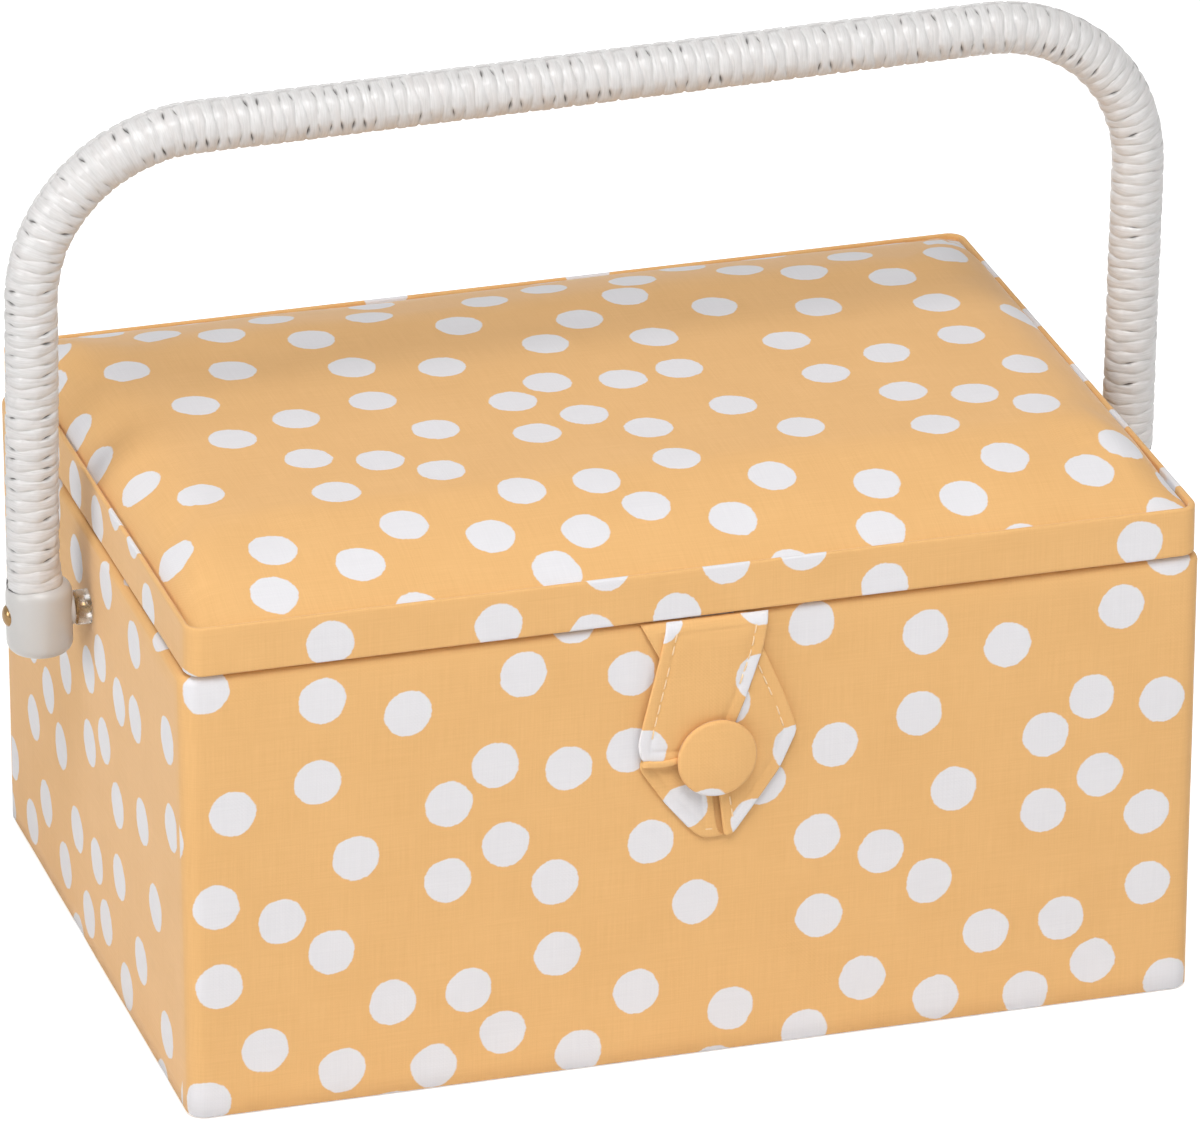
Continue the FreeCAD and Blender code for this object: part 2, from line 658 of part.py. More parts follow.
def covered_button():
    """Cap, shank and the flattened tail that holds it behind the wall, turned in one."""
    face_radius = BUTTON_RADIUS - BUTTON_ROUND
    wall_inside = BUTTON_BACK + ROOM_Y
    tail_end = wall_inside - SHANK_TAIL_THICK
    outline = [(0, tail_end), (SHANK_TAIL_RADIUS, tail_end), (SHANK_TAIL_RADIUS, wall_inside),
               (SHANK_RADIUS, wall_inside), (SHANK_RADIUS, 0), (BUTTON_RADIUS, 0)]
    outline.append((BUTTON_RADIUS, BUTTON_THICK - BUTTON_CROWN - BUTTON_ROUND))
    outline += dome_outline(face_radius, BUTTON_CROWN, BUTTON_THICK - BUTTON_CROWN)
    return turned(outline, button_point(BUTTON_BACK), -Y_AXIS)


# Loop: one cotton tape, folded to a point, its two ends glued under the lid's front edge
# Corners are X and Z, seen from the front, measured from the button's centre across
# and from the loop's top edge down.

LOOP_TOP = LID_BOTTOM - LOOP_TOP_GAP
RIGHT_LEG = [(-17.8, 0.0), (9.4, 0.0), (14.2, 11.3), (20.3, 25.7), (23.1, 34.3), (18.5, 44.4),
             (11.4, 54.2), (6.2, 61.1), (4.0, 61.3), (2.7, 50.6), (1.8, 41.0), (-0.7, 31.9), (-13.0, 10.2)]
LEFT_LEG = [(-11.1, 0.0), (15.5, 0.0), (13.7, 10.8), (9.2, 23.8), (6.9, 29.4), (2.4, 39.2),
            (-9.1, 39.1), (-17.7, 37.9), (-18.8, 33.4), (-17.7, 28.4), (-13.5, 11.7)]
POINT_LEG = [(-17.7, 37.4), (-9.1, 38.4), (-1.0, 36.0), (4.6, 44.0), (4.6, 61.3), (-1.3, 61.5),
             (-4.3, 59.1), (-11.5, 50.3), (-18.0, 40.3)]
POINT_FOLD = [(2.7, 51.0), (5.9, 51.5), (12.6, 52.6), (6.2, 61.1), (4.0, 61.3)]


def loop_layer(points, front_level, back_level):
    """A flat stretch of tape between two levels, counted in layers from the wall outwards."""
    corners = [(BUTTON_X + across, LOOP_TOP - down) for across, down in points]
    return outline_plate(corners, LOOP_BACK - front_level * LAYER, LOOP_BACK - back_level * LAYER)


def closing_loop():
    loop = loop_layer(RIGHT_LEG, 1, 0)
    loop = loop.fuse([loop_layer(POINT_LEG, 1, 0), loop_layer(LEFT_LEG, 2, 1), loop_layer(POINT_FOLD, 2, 1)])
    hole = disc(LOOP_HOLE_RADIUS, button_point(BUTTON_BACK), button_point(-HALF_Y), Y_AXIS)
    return loop.cut(hole).removeSplitter()


def loop_anchor():
    x0 = BUTTON_X + min(x for x, down in RIGHT_LEG if down == 0.0)
    x1 = BUTTON_X + max(x for x, down in LEFT_LEG if down == 0.0)
    return block(x0, x1, -HALF_Y, -HALF_Y + ANCHOR_REACH, LID_BOTTOM - ANCHOR_THICK, LID_BOTTOM)


# Write every piece

def pair(piece, place):
    """The same piece on the left and on the right, as two solids of one node."""
    return Part.makeCompound([piece(-place), piece(place)])


front, back, left, right = base_walls()
save("front_board", front)
save("back_board", back)
save("left_board", left)
save("right_board", right)
save("base_board", base_board())
save("outer_cover", outer_cover())
save("bottom_cover", bottom_cover())
save("wall_lining", wall_lining())
save("floor_pad", floor_pad())
save("tray", tray())

front, back, left, right = lid_strips()
save("lid_strip_front", front)
save("lid_strip_back", back)
save("lid_strip_left", left)
save("lid_strip_right", right)
save("lid_board", lid_board())
save("lid_foam", lid_foam())
save("pad_cover", pad_cover())
save("lid_band", lid_band())
save("lid_lining", lid_lining())
save("pincushion", pincushion())
save("lid_pocket", lid_pocket())
save("pocket_elastic", pocket_elastic())

save("hinge_base_leaves", pair(hinge_base_leaf, HINGE_X))
save("hinge_lid_leaves", pair(hinge_lid_leaf, HINGE_X))
save("hinge_pins", pair(hinge_pin, HINGE_X))

save("handle_core", handle_core())
save("handle_winding", handle_winding())
save("ferrules", pair(ferrule, 1))
save("pivot_rivets", pair(pivot_rivet, 1))
save("spacers", pair(spacer, 1))
save("tray_ledge_left", tray_ledge(-1))
save("tray_ledge_right", tray_ledge(1))

save("covered_button", covered_button())
save("closing_loop", closing_loop())
save("loop_anchor", loop_anchor())
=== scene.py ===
import math
import random

import bmesh
import bpy
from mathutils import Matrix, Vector, geometry, noise


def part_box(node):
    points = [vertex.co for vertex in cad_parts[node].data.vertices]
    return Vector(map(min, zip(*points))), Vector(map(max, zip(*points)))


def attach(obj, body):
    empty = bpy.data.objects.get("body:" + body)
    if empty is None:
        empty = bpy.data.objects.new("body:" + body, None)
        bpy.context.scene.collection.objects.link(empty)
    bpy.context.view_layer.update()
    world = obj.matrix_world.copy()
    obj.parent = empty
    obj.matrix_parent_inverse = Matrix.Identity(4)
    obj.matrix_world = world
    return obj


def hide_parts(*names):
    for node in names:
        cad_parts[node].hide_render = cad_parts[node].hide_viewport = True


# Fabric-covered sewing box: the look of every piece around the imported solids.
# Metres. +X is to the right, +Y is to the back, +Z is up.

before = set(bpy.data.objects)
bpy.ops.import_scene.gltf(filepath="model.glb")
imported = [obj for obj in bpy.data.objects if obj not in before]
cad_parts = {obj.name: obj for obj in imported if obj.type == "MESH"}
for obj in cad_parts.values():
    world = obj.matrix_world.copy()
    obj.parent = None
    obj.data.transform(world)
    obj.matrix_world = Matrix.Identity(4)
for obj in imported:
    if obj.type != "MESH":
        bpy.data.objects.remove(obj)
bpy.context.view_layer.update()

MM = 0.001

# Sizes that come with the solids
cover_low, cover_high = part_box("outer_cover")
band_low, band_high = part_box("lid_band")
lining_low, lining_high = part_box("wall_lining")
lid_lining_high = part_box("lid_lining")[1]
HALF_X = cover_high.x
HALF_Y = cover_high.y
BASE_TOP = cover_high.z
LID_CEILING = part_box("pincushion")[1].z

# Base cover
CORNER = 4.5 * MM
CLOTH = 0.8 * MM
WALL = 4.6 * MM
HEM = 9.0 * MM
TOP_ROUND = 2.25 * MM
# How far the cloth stands out past the solids at the left and at the right, each at the foot and at the top
BASE_SPREAD = ((1.0 * MM, 1.9 * MM), (2.4 * MM, 3.3 * MM))
BAND_SPREAD = ((0.3 * MM, 0.3 * MM), (2.0 * MM, 2.0 * MM))
PAD_SPREAD = 1.2 * MM
# The share of that at the back
BACK_SPREAD = 0.6
EVEN = ((0.0, 0.0), (0.0, 0.0))
# The last column before each corner, and the strip without dots where the cloth is joined at the left front
PRINT_GAP = 3.2 * MM
PLAIN_JOINT = 0.6 * PRINT_GAP
COLUMN_STEP = 6.0 * MM
ROW_STEP = 5.0 * MM
CORNER_STEPS = 8
BOARD_WAVE = 0.12 * MM
WAVES = 28
LEAST_CORNER = 0.3 * MM

# Lid
BAND = 1.2 * MM
BAND_ROUND = 0.55 * MM
LID_SETTLE = 0.45 * MM
LID_PROUD = 1.15 * MM
PROUD_RUN = 8 * MM
PAD_INSET = 1.25 * MM
PAD_DROP = 1.5 * MM
PAD_RISE = 11.4 * MM
PAD_FRONT_SHOULDER = 37.0 * MM
PAD_SIDE_SHOULDER = 14.0 * MM
PAD_FULLNESS = 2.4
PAD_STEP = 2.6 * MM
PAD_SWELL = 0.9 * MM
PAD_PRESSURE = 4.0
PAD_FRAMES = 20
EDGE_LINES = 9

FRONT, RIGHT, BACK, LEFT = range(4)
BACKWARDS = Vector((0, 1, 0))

# Colours of the finishes, as a shader takes them
APRICOT = (0.790, 0.465, 0.190, 1.0)
APRICOT_DEEP = (0.722, 0.413, 0.160, 1.0)
DOT_WHITE = (0.755, 0.742, 0.762, 1.0)
DOT_SHADE = (0.705, 0.692, 0.712, 1.0)


# Meshes

def new_object(name, data):
    made = bpy.data.objects.new(name, data)
    bpy.context.scene.collection.objects.link(made)
    return made


def mesh_object(name, points, faces, places=None, smooth=True):
    """An object from points and faces. places gives each corner of each face its spot on the cloth."""
    mesh = bpy.data.meshes.new(name)
    mesh.from_pydata([tuple(p) for p in points], [], faces)
    if places:
        layer = mesh.uv_layers.new(name="cloth")
        for loop, place in zip(layer.data, places):
            loop.uv = place
    mesh.polygons.foreach_set("use_smooth", [smooth] * len(mesh.polygons))
    mesh.validate()
    return new_object(name, mesh)


def set_out(made, body, slot, *nodes):
    """Rides the piece on its body and hides the solids that it stands for. slot is not used."""
    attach(made, body)
    if nodes:
        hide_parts(*nodes)
    return made


def paint(made, material):
    made.data.materials.clear()
    made.data.materials.append(material)
    return made


def at_corners(faces, spots):
    """The spot on the cloth of each corner of each face, from one spot for each point."""
    return [spots[corner] for face in faces for corner in face]


def seen_from_above(points):
    return [(point.x, point.y) for point in points]


def tube_faces(rows, around, ends=True):
    """Faces between rows of points that go round. Both ends are shut, or the last row joins the first."""
    faces = []
    for row in range(rows - 1 if ends else rows):
        above = (row + 1) % rows
        for n in range(around):
            m = (n + 1) % around
            faces.append((row * around + n, row * around + m, above * around + m, above * around + n))
    if ends:
        faces.append(list(range(around)))
        faces.append([(rows - 1) * around + n for n in range(around)])
    return faces


def ring_columns(half_x, half_y):
    """The columns round a box: which side, how far along it, and how far round the corner after it."""
    columns = []
    for side, length in enumerate((half_x, half_y, half_x, half_y)):
        count = max(2, round(2 * length / COLUMN_STEP))
        columns += [(side, step / count, 0.0) for step in range(count)]
        columns.append((side, 1 - PRINT_GAP / (2 * length), 0.0))
        columns += [(side, 1.0, step / CORNER_STEPS) for step in range(CORNER_STEPS)]
    return columns


def printed_side(column):
    """The cloth of the front and of the back wraps round their own corners."""
    side, along, turn = column
    if along < 1.0:
        return side
    return FRONT if side in (LEFT, FRONT) else BACK


def ring_point(column, half_x, half_y, radius):
    """Where a column of a ring stands, and the direction outwards there."""
    side, along, turn = column
    straight_x, straight_y = half_x - radius, half_y - radius
    starts = [(-straight_x, -half_y), (half_x, -straight_y), (straight_x, half_y), (-half_x, straight_y)]
    ends = [(straight_x, -half_y), (half_x, straight_y), (-straight_x, half_y), (-half_x, -straight_y)]
    centres = [(straight_x, -straight_y), (straight_x, straight_y),
               (-straight_x, straight_y), (-straight_x, -straight_y)]
    angle = math.radians(-90 + 90 * side + 90 * turn)
    outward = Vector((math.cos(angle), math.sin(angle), 0))
    if turn > 0:
        return Vector((*centres[side], 0)) + outward * radius, outward
    place = Vector(starts[side]).lerp(Vector(ends[side]), along)
    return Vector((*place, 0)), outward


def ring_place(column, half_x, half_y, radius, side):
    """Distance round the ring from the middle of a side, measured on the outside of the cloth."""
    lengths = [2 * (half_x - radius), 2 * (half_y - radius)] * 2
    bend = radius * math.pi / 2
    at = column[1] * lengths[column[0]] + column[2] * bend
    walked = sum(lengths[:column[0]]) + column[0] * bend + at
    middle = sum(lengths[:side]) + side * bend + lengths[side] / 2
    around = sum(lengths) + 4 * bend
    return (walked - middle + around / 2) % around - around / 2


def ring(name, half_x, half_y, radius, profile, lay, wave=0.0, spread=EVEN):
    """A closed band of cloth round the box. profile is a closed list of (how far in, height).
    lay turns (side, distance from the side's middle, distance up the cloth) into a spot on the print.
    spread is how far the left and the right side stand out at the front, each at the foot and at the top."""
    columns = ring_columns(half_x, half_y)
    count = len(columns)
    low = min(height for inward, height in profile)
    high = max(height for inward, height in profile)
    points, climbed, widened = [], [], []
    last = None
    for inward, height in profile:
        here = Vector((inward, height))
        climbed.append(here.y if last is None else climbed[-1] + (here - last).length)
        last = here
        share = (height - low) / (high - low)
        fade = max(0.0, 1 - inward / WALL)
        widened.append([(foot + (head - foot) * share) * fade / half_x for foot, head in spread])
        for column in columns:
            tight = max(radius - inward, LEAST_CORNER)
            at, outward = ring_point(column, half_x - inward, half_y - inward, tight)
            taper = BACK_SPREAD + (1 - BACK_SPREAD) * (half_y - at.y) / (2 * half_y)
            at.x *= 1 + widened[-1][at.x > 0] * taper
            if inward == 0 and wave:
                at += outward * wave * noise.noise(Vector((at.x, at.y, height)) * WAVES)
            points.append(Vector((at.x, at.y, height)))
    faces = tube_faces(len(profile), count, ends=False)
    places, plain = [], []
    for row in range(len(profile)):
        following = (row + 1) % len(profile)
        for number, column in enumerate(columns):
            after = (number + 1) % count
            side = printed_side(column)
            spots = [ring_place(columns[n], half_x, half_y, radius, side) for n in (number, after)]
            if side in (FRONT, BACK):
                taper = 1.0 if side == FRONT else BACK_SPREAD
                spots = [spot * (1 + widened[row][(spot > 0) == (side == FRONT)] * taper) for spot in spots]
            up = (climbed[row], climbed[following] if following else climbed[row] + CLOTH)
            for spot, rise in ((spots[0], up[0]), (spots[1], up[0]), (spots[1], up[1]), (spots[0], up[1])):
                places.append(lay(side, spot, rise))
            hidden = column[0] == LEFT and 1 - PLAIN_JOINT / half_y < column[1] < 1.0
            plain += [float(hidden)] * 4
    made = mesh_object(name, points, faces, places)
    mark = made.data.attributes.new("plain", "FLOAT", "CORNER")
    mark.data.foreach_set("value", plain)
    return made


def steps(start, end, spacing):
    """Even steps from start to end, both included."""
    count = max(1, round(abs(end - start) / spacing))
    return [start + (end - start) * n / count for n in range(count + 1)]


def arc(centre, radius, first, last, count):
    """Points on an arc, as (across, up), from one angle to another in degrees."""
    found = []
    for n in range(count + 1):
        angle = math.radians(first + (last - first) * n / count)
        found.append((centre[0] + radius * math.cos(angle), centre[1] + radius * math.sin(angle)))
    return found


def rounded_box(rows, half_x, half_y, corner, least, middle=Vector((0, 0, 0))):
    """Points and faces of a shut box with round corners. rows are (how far in, height)."""
    columns = ring_columns(half_x, half_y)
    points = []
    for inward, height in rows:
        for column in columns:
            at = ring_point(column, half_x - inward, half_y - inward, max(corner - inward, least))[0]
            points.append(at + middle + Vector((0, 0, height)))
    return points, tube_faces(len(rows), len(columns))


def rounded_spot(x, y, half_x, half_y, radius):
    """A spot of a square grid, drawn in where a corner is round, and how far it is from the edge."""
    over_x, over_y = abs(x) - (half_x - radius), abs(y) - (half_y - radius)
    if over_x <= 0 or over_y <= 0:
        return x, y, min(half_x - abs(x), half_y - abs(y))
    reach = max(over_x, over_y)
    away = Vector((over_x, over_y)).normalized() * reach
    across = math.copysign(half_x - radius + away.x, x)
    along = math.copysign(half_y - radius + away.y, y)
    return across, along, radius - reach


def pad_faces(points, wide, deep, floor_height):
    """Faces over a grid of points and down its sides to a flat bottom, whose points are added to the list."""
    faces = []
    for row in range(deep - 1):
        for n in range(wide - 1):
            at = row * wide + n
            faces.append((at, at + 1, at + wide + 1, at + wide))
    rim = list(range(wide)) + [row * wide + wide - 1 for row in range(1, deep)]
    rim += [(deep - 1) * wide + n for n in range(wide - 2, -1, -1)]
    rim += [row * wide for row in range(deep - 2, 0, -1)]
    below = []
    for n in rim:
        below.append(len(points))
        points.append(Vector((points[n].x, points[n].y, floor_height)))
    for place, n in enumerate(rim):
        following = (place + 1) % len(rim)
        faces.append((n, below[place], below[following], rim[following]))
    faces.append(below[::-1])
    return faces


def turned(name, outline, origin, axis, segments):
    """A closed form turned about an axis. outline is (radius, travel) from the axis back to the axis."""
    axis = Vector(axis).normalized()
    side = axis.orthogonal().normalized()
    across = axis.cross(side)
    points, rows = [], []
    for radius, travel in outline:
        foot = Vector(origin) + axis * travel
        if radius < 1e-7:
            rows.append([len(points)])
            points.append(foot)
            continue
        rows.append(range(len(points), len(points) + segments))
        for n in range(segments):
            angle = 2 * math.pi * n / segments
            points.append(foot + (side * math.cos(angle) + across * math.sin(angle)) * radius)
    faces = []
    for low, high in zip(rows, rows[1:]):
        for n in range(segments):
            m = (n + 1) % segments
            corners = [low[n % len(low)], low[m % len(low)], high[m % len(high)], high[n % len(high)]]
            face = list(dict.fromkeys(corners))
            if len(face) > 2:
                faces.append(face)
    places = []
    for face in faces:
        for corner in face:
            away = points[corner] - Vector(origin)
            places.append((away.dot(side), away.dot(across)))
    return outward_normals(mesh_object(name, points, faces, places))


def outward_normals(made):
    bm = bmesh.new()
    bm.from_mesh(made.data)
    bmesh.ops.recalc_face_normals(bm, faces=bm.faces)
    bm.to_mesh(made.data)
    bm.free()
    return made


def join(name, pieces):
    """Several meshes as one piece."""
    bpy.ops.object.select_all(action="DESELECT")
    for piece in pieces:
        piece.select_set(True)
    bpy.context.view_layer.objects.active = pieces[0]
    bpy.ops.object.join()
    made = bpy.context.view_layer.objects.active
    made.name = name
    made.data.name = name
    return made


# Shader building

def feed(tree, socket, value):
    """Links another socket to this one, or sets its value."""
    if isinstance(value, bpy.types.NodeSocket):
        tree.links.new(value, socket)
    else:
        socket.default_value = value


def node(tree, kind, inputs=None, **settings):
    made = tree.nodes.new(kind)
    for name, value in settings.items():
        setattr(made, name, value)
    for name, value in (inputs or {}).items():
        feed(tree, made.inputs[name], value)
    return made


def sum_of(tree, operation, first, second=0.0, third=0.0, clamp=False):
    inputs = {0: first, 1: second, 2: third}
    return node(tree, "ShaderNodeMath", inputs, operation=operation, use_clamp=clamp).outputs[0]


def vector_of(tree, operation, first, second=(0, 0, 0), third=(0, 0, 0)):
    return node(tree, "ShaderNodeVectorMath", {0: first, 1: second, 2: third}, operation=operation).outputs[0]


def scaled(tree, vector, scale):
    return node(tree, "ShaderNodeVectorMath", {0: vector, "Scale": scale}, operation="SCALE").outputs[0]


def stretched(tree, value, low, high, to_low=0.0, to_high=1.0):
    made = node(tree, "ShaderNodeMapRange", {"Value": value, "From Min": low, "From Max": high,
                                             "To Min": to_low, "To Max": to_high})
    return made.outputs["Result"]


def mixed(tree, share, first, second):
    made = node(tree, "ShaderNodeMix", {"Factor": share, 6: first, 7: second}, data_type="RGBA")
    return made.outputs[2]


def noise_of(tree, place, scale, detail=2.0, roughness=0.5):
    made = node(tree, "ShaderNodeTexNoise", {"Vector": place, "Scale": scale, "Detail": detail,
                                             "Roughness": roughness})
    return made.outputs["Fac"]


def new_group(name, inputs, outputs):
    """An empty shader group with named inputs and outputs."""
    tree = bpy.data.node_groups.new(name, "ShaderNodeTree")
    for label, kind, value in inputs:
        socket = tree.interface.new_socket(label, in_out="INPUT", socket_type=kind)
        if value is not None:
            socket.default_value = value
    for label, kind in outputs:
        tree.interface.new_socket(label, in_out="OUTPUT", socket_type=kind)
    return tree, tree.nodes.new("NodeGroupInput").outputs, tree.nodes.new("NodeGroupOutput").inputs


VECTOR, NUMBER = "NodeSocketVector", "NodeSocketFloat"

# The print: centres of its dots in millimetres, over one repeat of the cloth
PRINT_REPEAT = (157, 164)
PRINT_DOTS = [
    (77, -6), (5, -4), (29, 3), (126, 5), (88, 6), (64, 8), (9, 12), (106, 13), (44, 16), (141, 20), (77, 25),
    (97, 26), (120, 33), (32, 35), (61, 41), (156, 43), (48, 51), (119, 53), (31, 57), (91, 57), (144, 61),
    (106, 65), (67, 66), (16, 74), (91, 78), (35, 82), (122, 84), (103, 87), (138, 87), (57, 88),
    (13, 97), (80, 104), (104, 146), (138, 108), (58, 110), (110, 111), (28, 116), (2, 123), (123, 124),
    (92, 129), (53, 130), (139, 136), (32, 140), (72, 143), (17, 148), (48, 151), (122, 152), (145, 149)]
BAND_REPEAT = (896, 60)
BAND_DOTS = [
    (-131, 117), (-94, 127), (-51, 126), (-5, 123), (49, 124), (116, 127), (28, 137), (-23, 138),
    (8, 136), (-27, 120), (149, 135), (188, 137), (219, 134), (257, 136), (291, 134), (350, 127),
    (397, 126), (448, 123), (497, 125), (545, 128), (420, 134), (475, 134), (-167, 125), (-183, 138),
    (-201, 138), (-218, 127), (-240, 127), (-262, 129), (-285, 131), (-305, 125)]
LOOP_REPEAT = (1000, 1000)
LOOP_DOTS = [
    (-10, 122), (17, 124), (16, 104), (-14, 87), (208, 97), (226, 83), (215, 64), (397, 70), (802, 70)]
# Dots of the repeat that the pad lacks near its edges, and dots that it has besides
PAD_LEFT_OUT = [
    (-169, -15), (-140, -16), (-109, -13), (-35, -12), (-12, -15), (17, -16), (48, -13), (77, -6), (77, 25)]
PAD_ADDED = [(-118, -14), (-21, -13), (40, -13), (80, -8), (76, 18)]
DOT_RADIUS = 6.1
DOT_SOFTNESS = 0.16
LEFT_OUT_RADIUS = 7.2


def dots_group(name, centres, repeat, radius=DOT_RADIUS):
    """Round dots with slightly uneven edges, at stated centres that repeat over the cloth."""
    tree, given, result = new_group(name, [("Cloth", VECTOR, None)], [("Dots", NUMBER)])
    place = scaled(tree, given["Cloth"], 1 / MM)
    wobble = node(tree, "ShaderNodeTexNoise", {"Vector": place, "Scale": 0.16, "Detail": 2.0})
    shift = vector_of(tree, "MULTIPLY_ADD", wobble.outputs["Color"], (1.5, 1.5, 0), (-0.75, -0.75, 0))
    rag = node(tree, "ShaderNodeTexNoise", {"Vector": place, "Scale": 1.1, "Detail": 1.0})
    ragged = vector_of(tree, "MULTIPLY_ADD", rag.outputs["Color"], (0.4, 0.4, 0), (-0.2, -0.2, 0))
    place = vector_of(tree, "ADD", vector_of(tree, "ADD", place, shift), ragged)
    nearest = None
    for across, up in centres:
        high = (across + repeat[0] / 2, up + repeat[1] / 2, 0)
        low = (across - repeat[0] / 2, up - repeat[1] / 2, 0)
        wrapped = vector_of(tree, "WRAP", place, high, low)
        gap = node(tree, "ShaderNodeVectorMath", {0: wrapped, 1: (across, up, 0)}, operation="DISTANCE")
        away = gap.outputs["Value"]
        nearest = away if nearest is None else sum_of(tree, "MINIMUM", nearest, away)
    edge = stretched(tree, nearest, radius - DOT_SOFTNESS, radius + DOT_SOFTNESS, 1.0, 0.0)
    tree.links.new(edge, result["Dots"])
    return tree


def weave_group():
    """Plain-woven threads with slubs: a height for the bump, and a shade that runs along the threads."""
    tree, given, result = new_group("woven threads", [("Cloth", VECTOR, None), ("Thread", NUMBER, 0.5 * MM)],
                                    [("Height", NUMBER), ("Shade", NUMBER)])
    count = sum_of(tree, "DIVIDE", math.pi, given["Thread"])
    place = scaled(tree, given["Cloth"], count)
    apart = node(tree, "ShaderNodeSeparateXYZ", {0: place}).outputs
    across, up = sum_of(tree, "SINE", apart["X"]), sum_of(tree, "SINE", apart["Y"])
    over = sum_of(tree, "MULTIPLY", across, up)
    slubs = []
    for stretch in ((0.5, 0.012, 1.0), (0.012, 0.5, 1.0)):
        lengthened = vector_of(tree, "MULTIPLY", place, stretch)
        slubs.append(noise_of(tree, lengthened, 0.9, 2.0, 0.6))
    streaks = sum_of(tree, "ADD", *slubs)
    patches = noise_of(tree, given["Cloth"], 45.0, 3.0)
    shade = sum_of(tree, "MULTIPLY", streaks, 0.5)
    soft = sum_of(tree, "MULTIPLY_ADD", patches, 0.35, shade)
    tree.links.new(stretched(tree, soft, 0.45, 0.9), result["Shade"])
    tree.links.new(sum_of(tree, "MULTIPLY_ADD", over, 0.5, shade), result["Height"])
    return tree


def mottle_group():
    """Unevenness of a hard surface: a shade for colour and roughness, and fine scratches for the bump."""
    tree, given, result = new_group("surface mottle", [("Place", VECTOR, None), ("Size", NUMBER, 8 * MM)],
                                    [("Shade", NUMBER), ("Scratches", NUMBER)])
    count = sum_of(tree, "DIVIDE", 1.0, given["Size"])
    place = scaled(tree, given["Place"], count)
    tree.links.new(noise_of(tree, place, 1.0, 4.0), result["Shade"])
    fine = vector_of(tree, "MULTIPLY", place, (2.0, 14.0, 14.0))
    tree.links.new(noise_of(tree, fine, 1.0, 2.0), result["Scratches"])
    return tree


DOTS = dots_group("polka dots", PRINT_DOTS, PRINT_REPEAT)
BAND_PRINT = dots_group("polka dots of the band", BAND_DOTS, BAND_REPEAT)
LOOP_PRINT = dots_group("polka dots of the loop", LOOP_DOTS, LOOP_REPEAT)
PAD_WITHOUT = dots_group("dots the pad lacks", PAD_LEFT_OUT, LOOP_REPEAT, LEFT_OUT_RADIUS)
PAD_WITH = dots_group("dots the pad has besides", PAD_ADDED, LOOP_REPEAT)
WEAVE = weave_group()
MOTTLE = mottle_group()


def group(tree, shader, inputs):
    made = tree.nodes.new("ShaderNodeGroup")
    made.node_tree = shader
    for name, value in inputs.items():
        feed(tree, made.inputs[name], value)
    return made.outputs


def new_material(name):
    material = bpy.data.materials.new(name)
    material.use_nodes = True
    tree = material.node_tree
    return material, tree, tree.nodes["Principled BSDF"].inputs


def bump(tree, surface, height, strength, distance):
    made = node(tree, "ShaderNodeBump", {"Height": height, "Strength": strength, "Distance": distance})
    tree.links.new(made.outputs["Normal"], surface["Normal"])


def cotton(name, light, deep, thread, dots=None, sheen=0.35, roughness=0.86, relief=0.03 * MM, changed=None):
    """Woven cloth, plain or printed with dots, of which some can be left out and others added."""
    material, tree, surface = new_material(name)
    cloth = node(tree, "ShaderNodeUVMap", uv_map="cloth").outputs["UV"]
    threads = group(tree, WEAVE, {"Cloth": cloth, "Thread": thread})
    colour = mixed(tree, threads["Shade"], deep, light)
    if dots:
        joint = node(tree, "ShaderNodeAttribute", attribute_name="plain").outputs["Fac"]
        printed = group(tree, dots, {"Cloth": cloth})["Dots"]
        if changed:
            without, besides = [group(tree, other, {"Cloth": cloth})["Dots"] for other in changed]
            printed = sum_of(tree, "MAXIMUM", sum_of(tree, "SUBTRACT", printed, without, clamp=True), besides)
        printed = sum_of(tree, "SUBTRACT", printed, joint, clamp=True)
        colour = mixed(tree, printed, colour, mixed(tree, threads["Shade"], DOT_SHADE, DOT_WHITE))
    tree.links.new(colour, surface["Base Color"])
    rough = stretched(tree, threads["Shade"], 0, 1, roughness + 0.05, roughness - 0.05)
    tree.links.new(rough, surface["Roughness"])
    surface["Sheen Weight"].default_value = sheen
    surface["Sheen Roughness"].default_value = 0.35
    surface["Specular IOR Level"].default_value = 0.25
    bump(tree, surface, threads["Height"], 0.6, relief)
    return material


def hard(name, light, deep, roughness, size=8 * MM, metallic=0.0, coat=0.0, relief=0.01 * MM, spread=0.06):
    """A moulded, painted or metal surface with a faint mottle."""
    material, tree, surface = new_material(name)
    place = node(tree, "ShaderNodeTexCoord").outputs["Object"]
    look = group(tree, MOTTLE, {"Place": place, "Size": size})
    tree.links.new(mixed(tree, look["Shade"], deep, light), surface["Base Color"])
    rough = stretched(tree, look["Shade"], 0.3, 0.7, roughness + spread, roughness - spread)
    tree.links.new(rough, surface["Roughness"])
    surface["Metallic"].default_value = metallic
    surface["Coat Weight"].default_value = coat
    bump(tree, surface, look["Scratches"], 0.3, relief)
    return material


def board():
    """Pressed fibreboard: short fibres in all directions."""
    material, tree, surface = new_material("pressed fibreboard")
    place = node(tree, "ShaderNodeTexCoord").outputs["Object"]
    fibres = noise_of(tree, vector_of(tree, "MULTIPLY", place, (900, 250, 250)), 1.0, 4.0, 0.7)
    flecks = noise_of(tree, place, 160.0, 3.0, 0.7)
    colour = mixed(tree, fibres, (0.34, 0.22, 0.11, 1), (0.55, 0.40, 0.23, 1))
    colour = mixed(tree, stretched(tree, flecks, 0.55, 0.7), colour, (0.28, 0.17, 0.08, 1))
    tree.links.new(colour, surface["Base Color"])
    tree.links.new(stretched(tree, fibres, 0, 1, 0.9, 0.75), surface["Roughness"])
    bump(tree, surface, fibres, 0.4, 0.1 * MM)
    return material


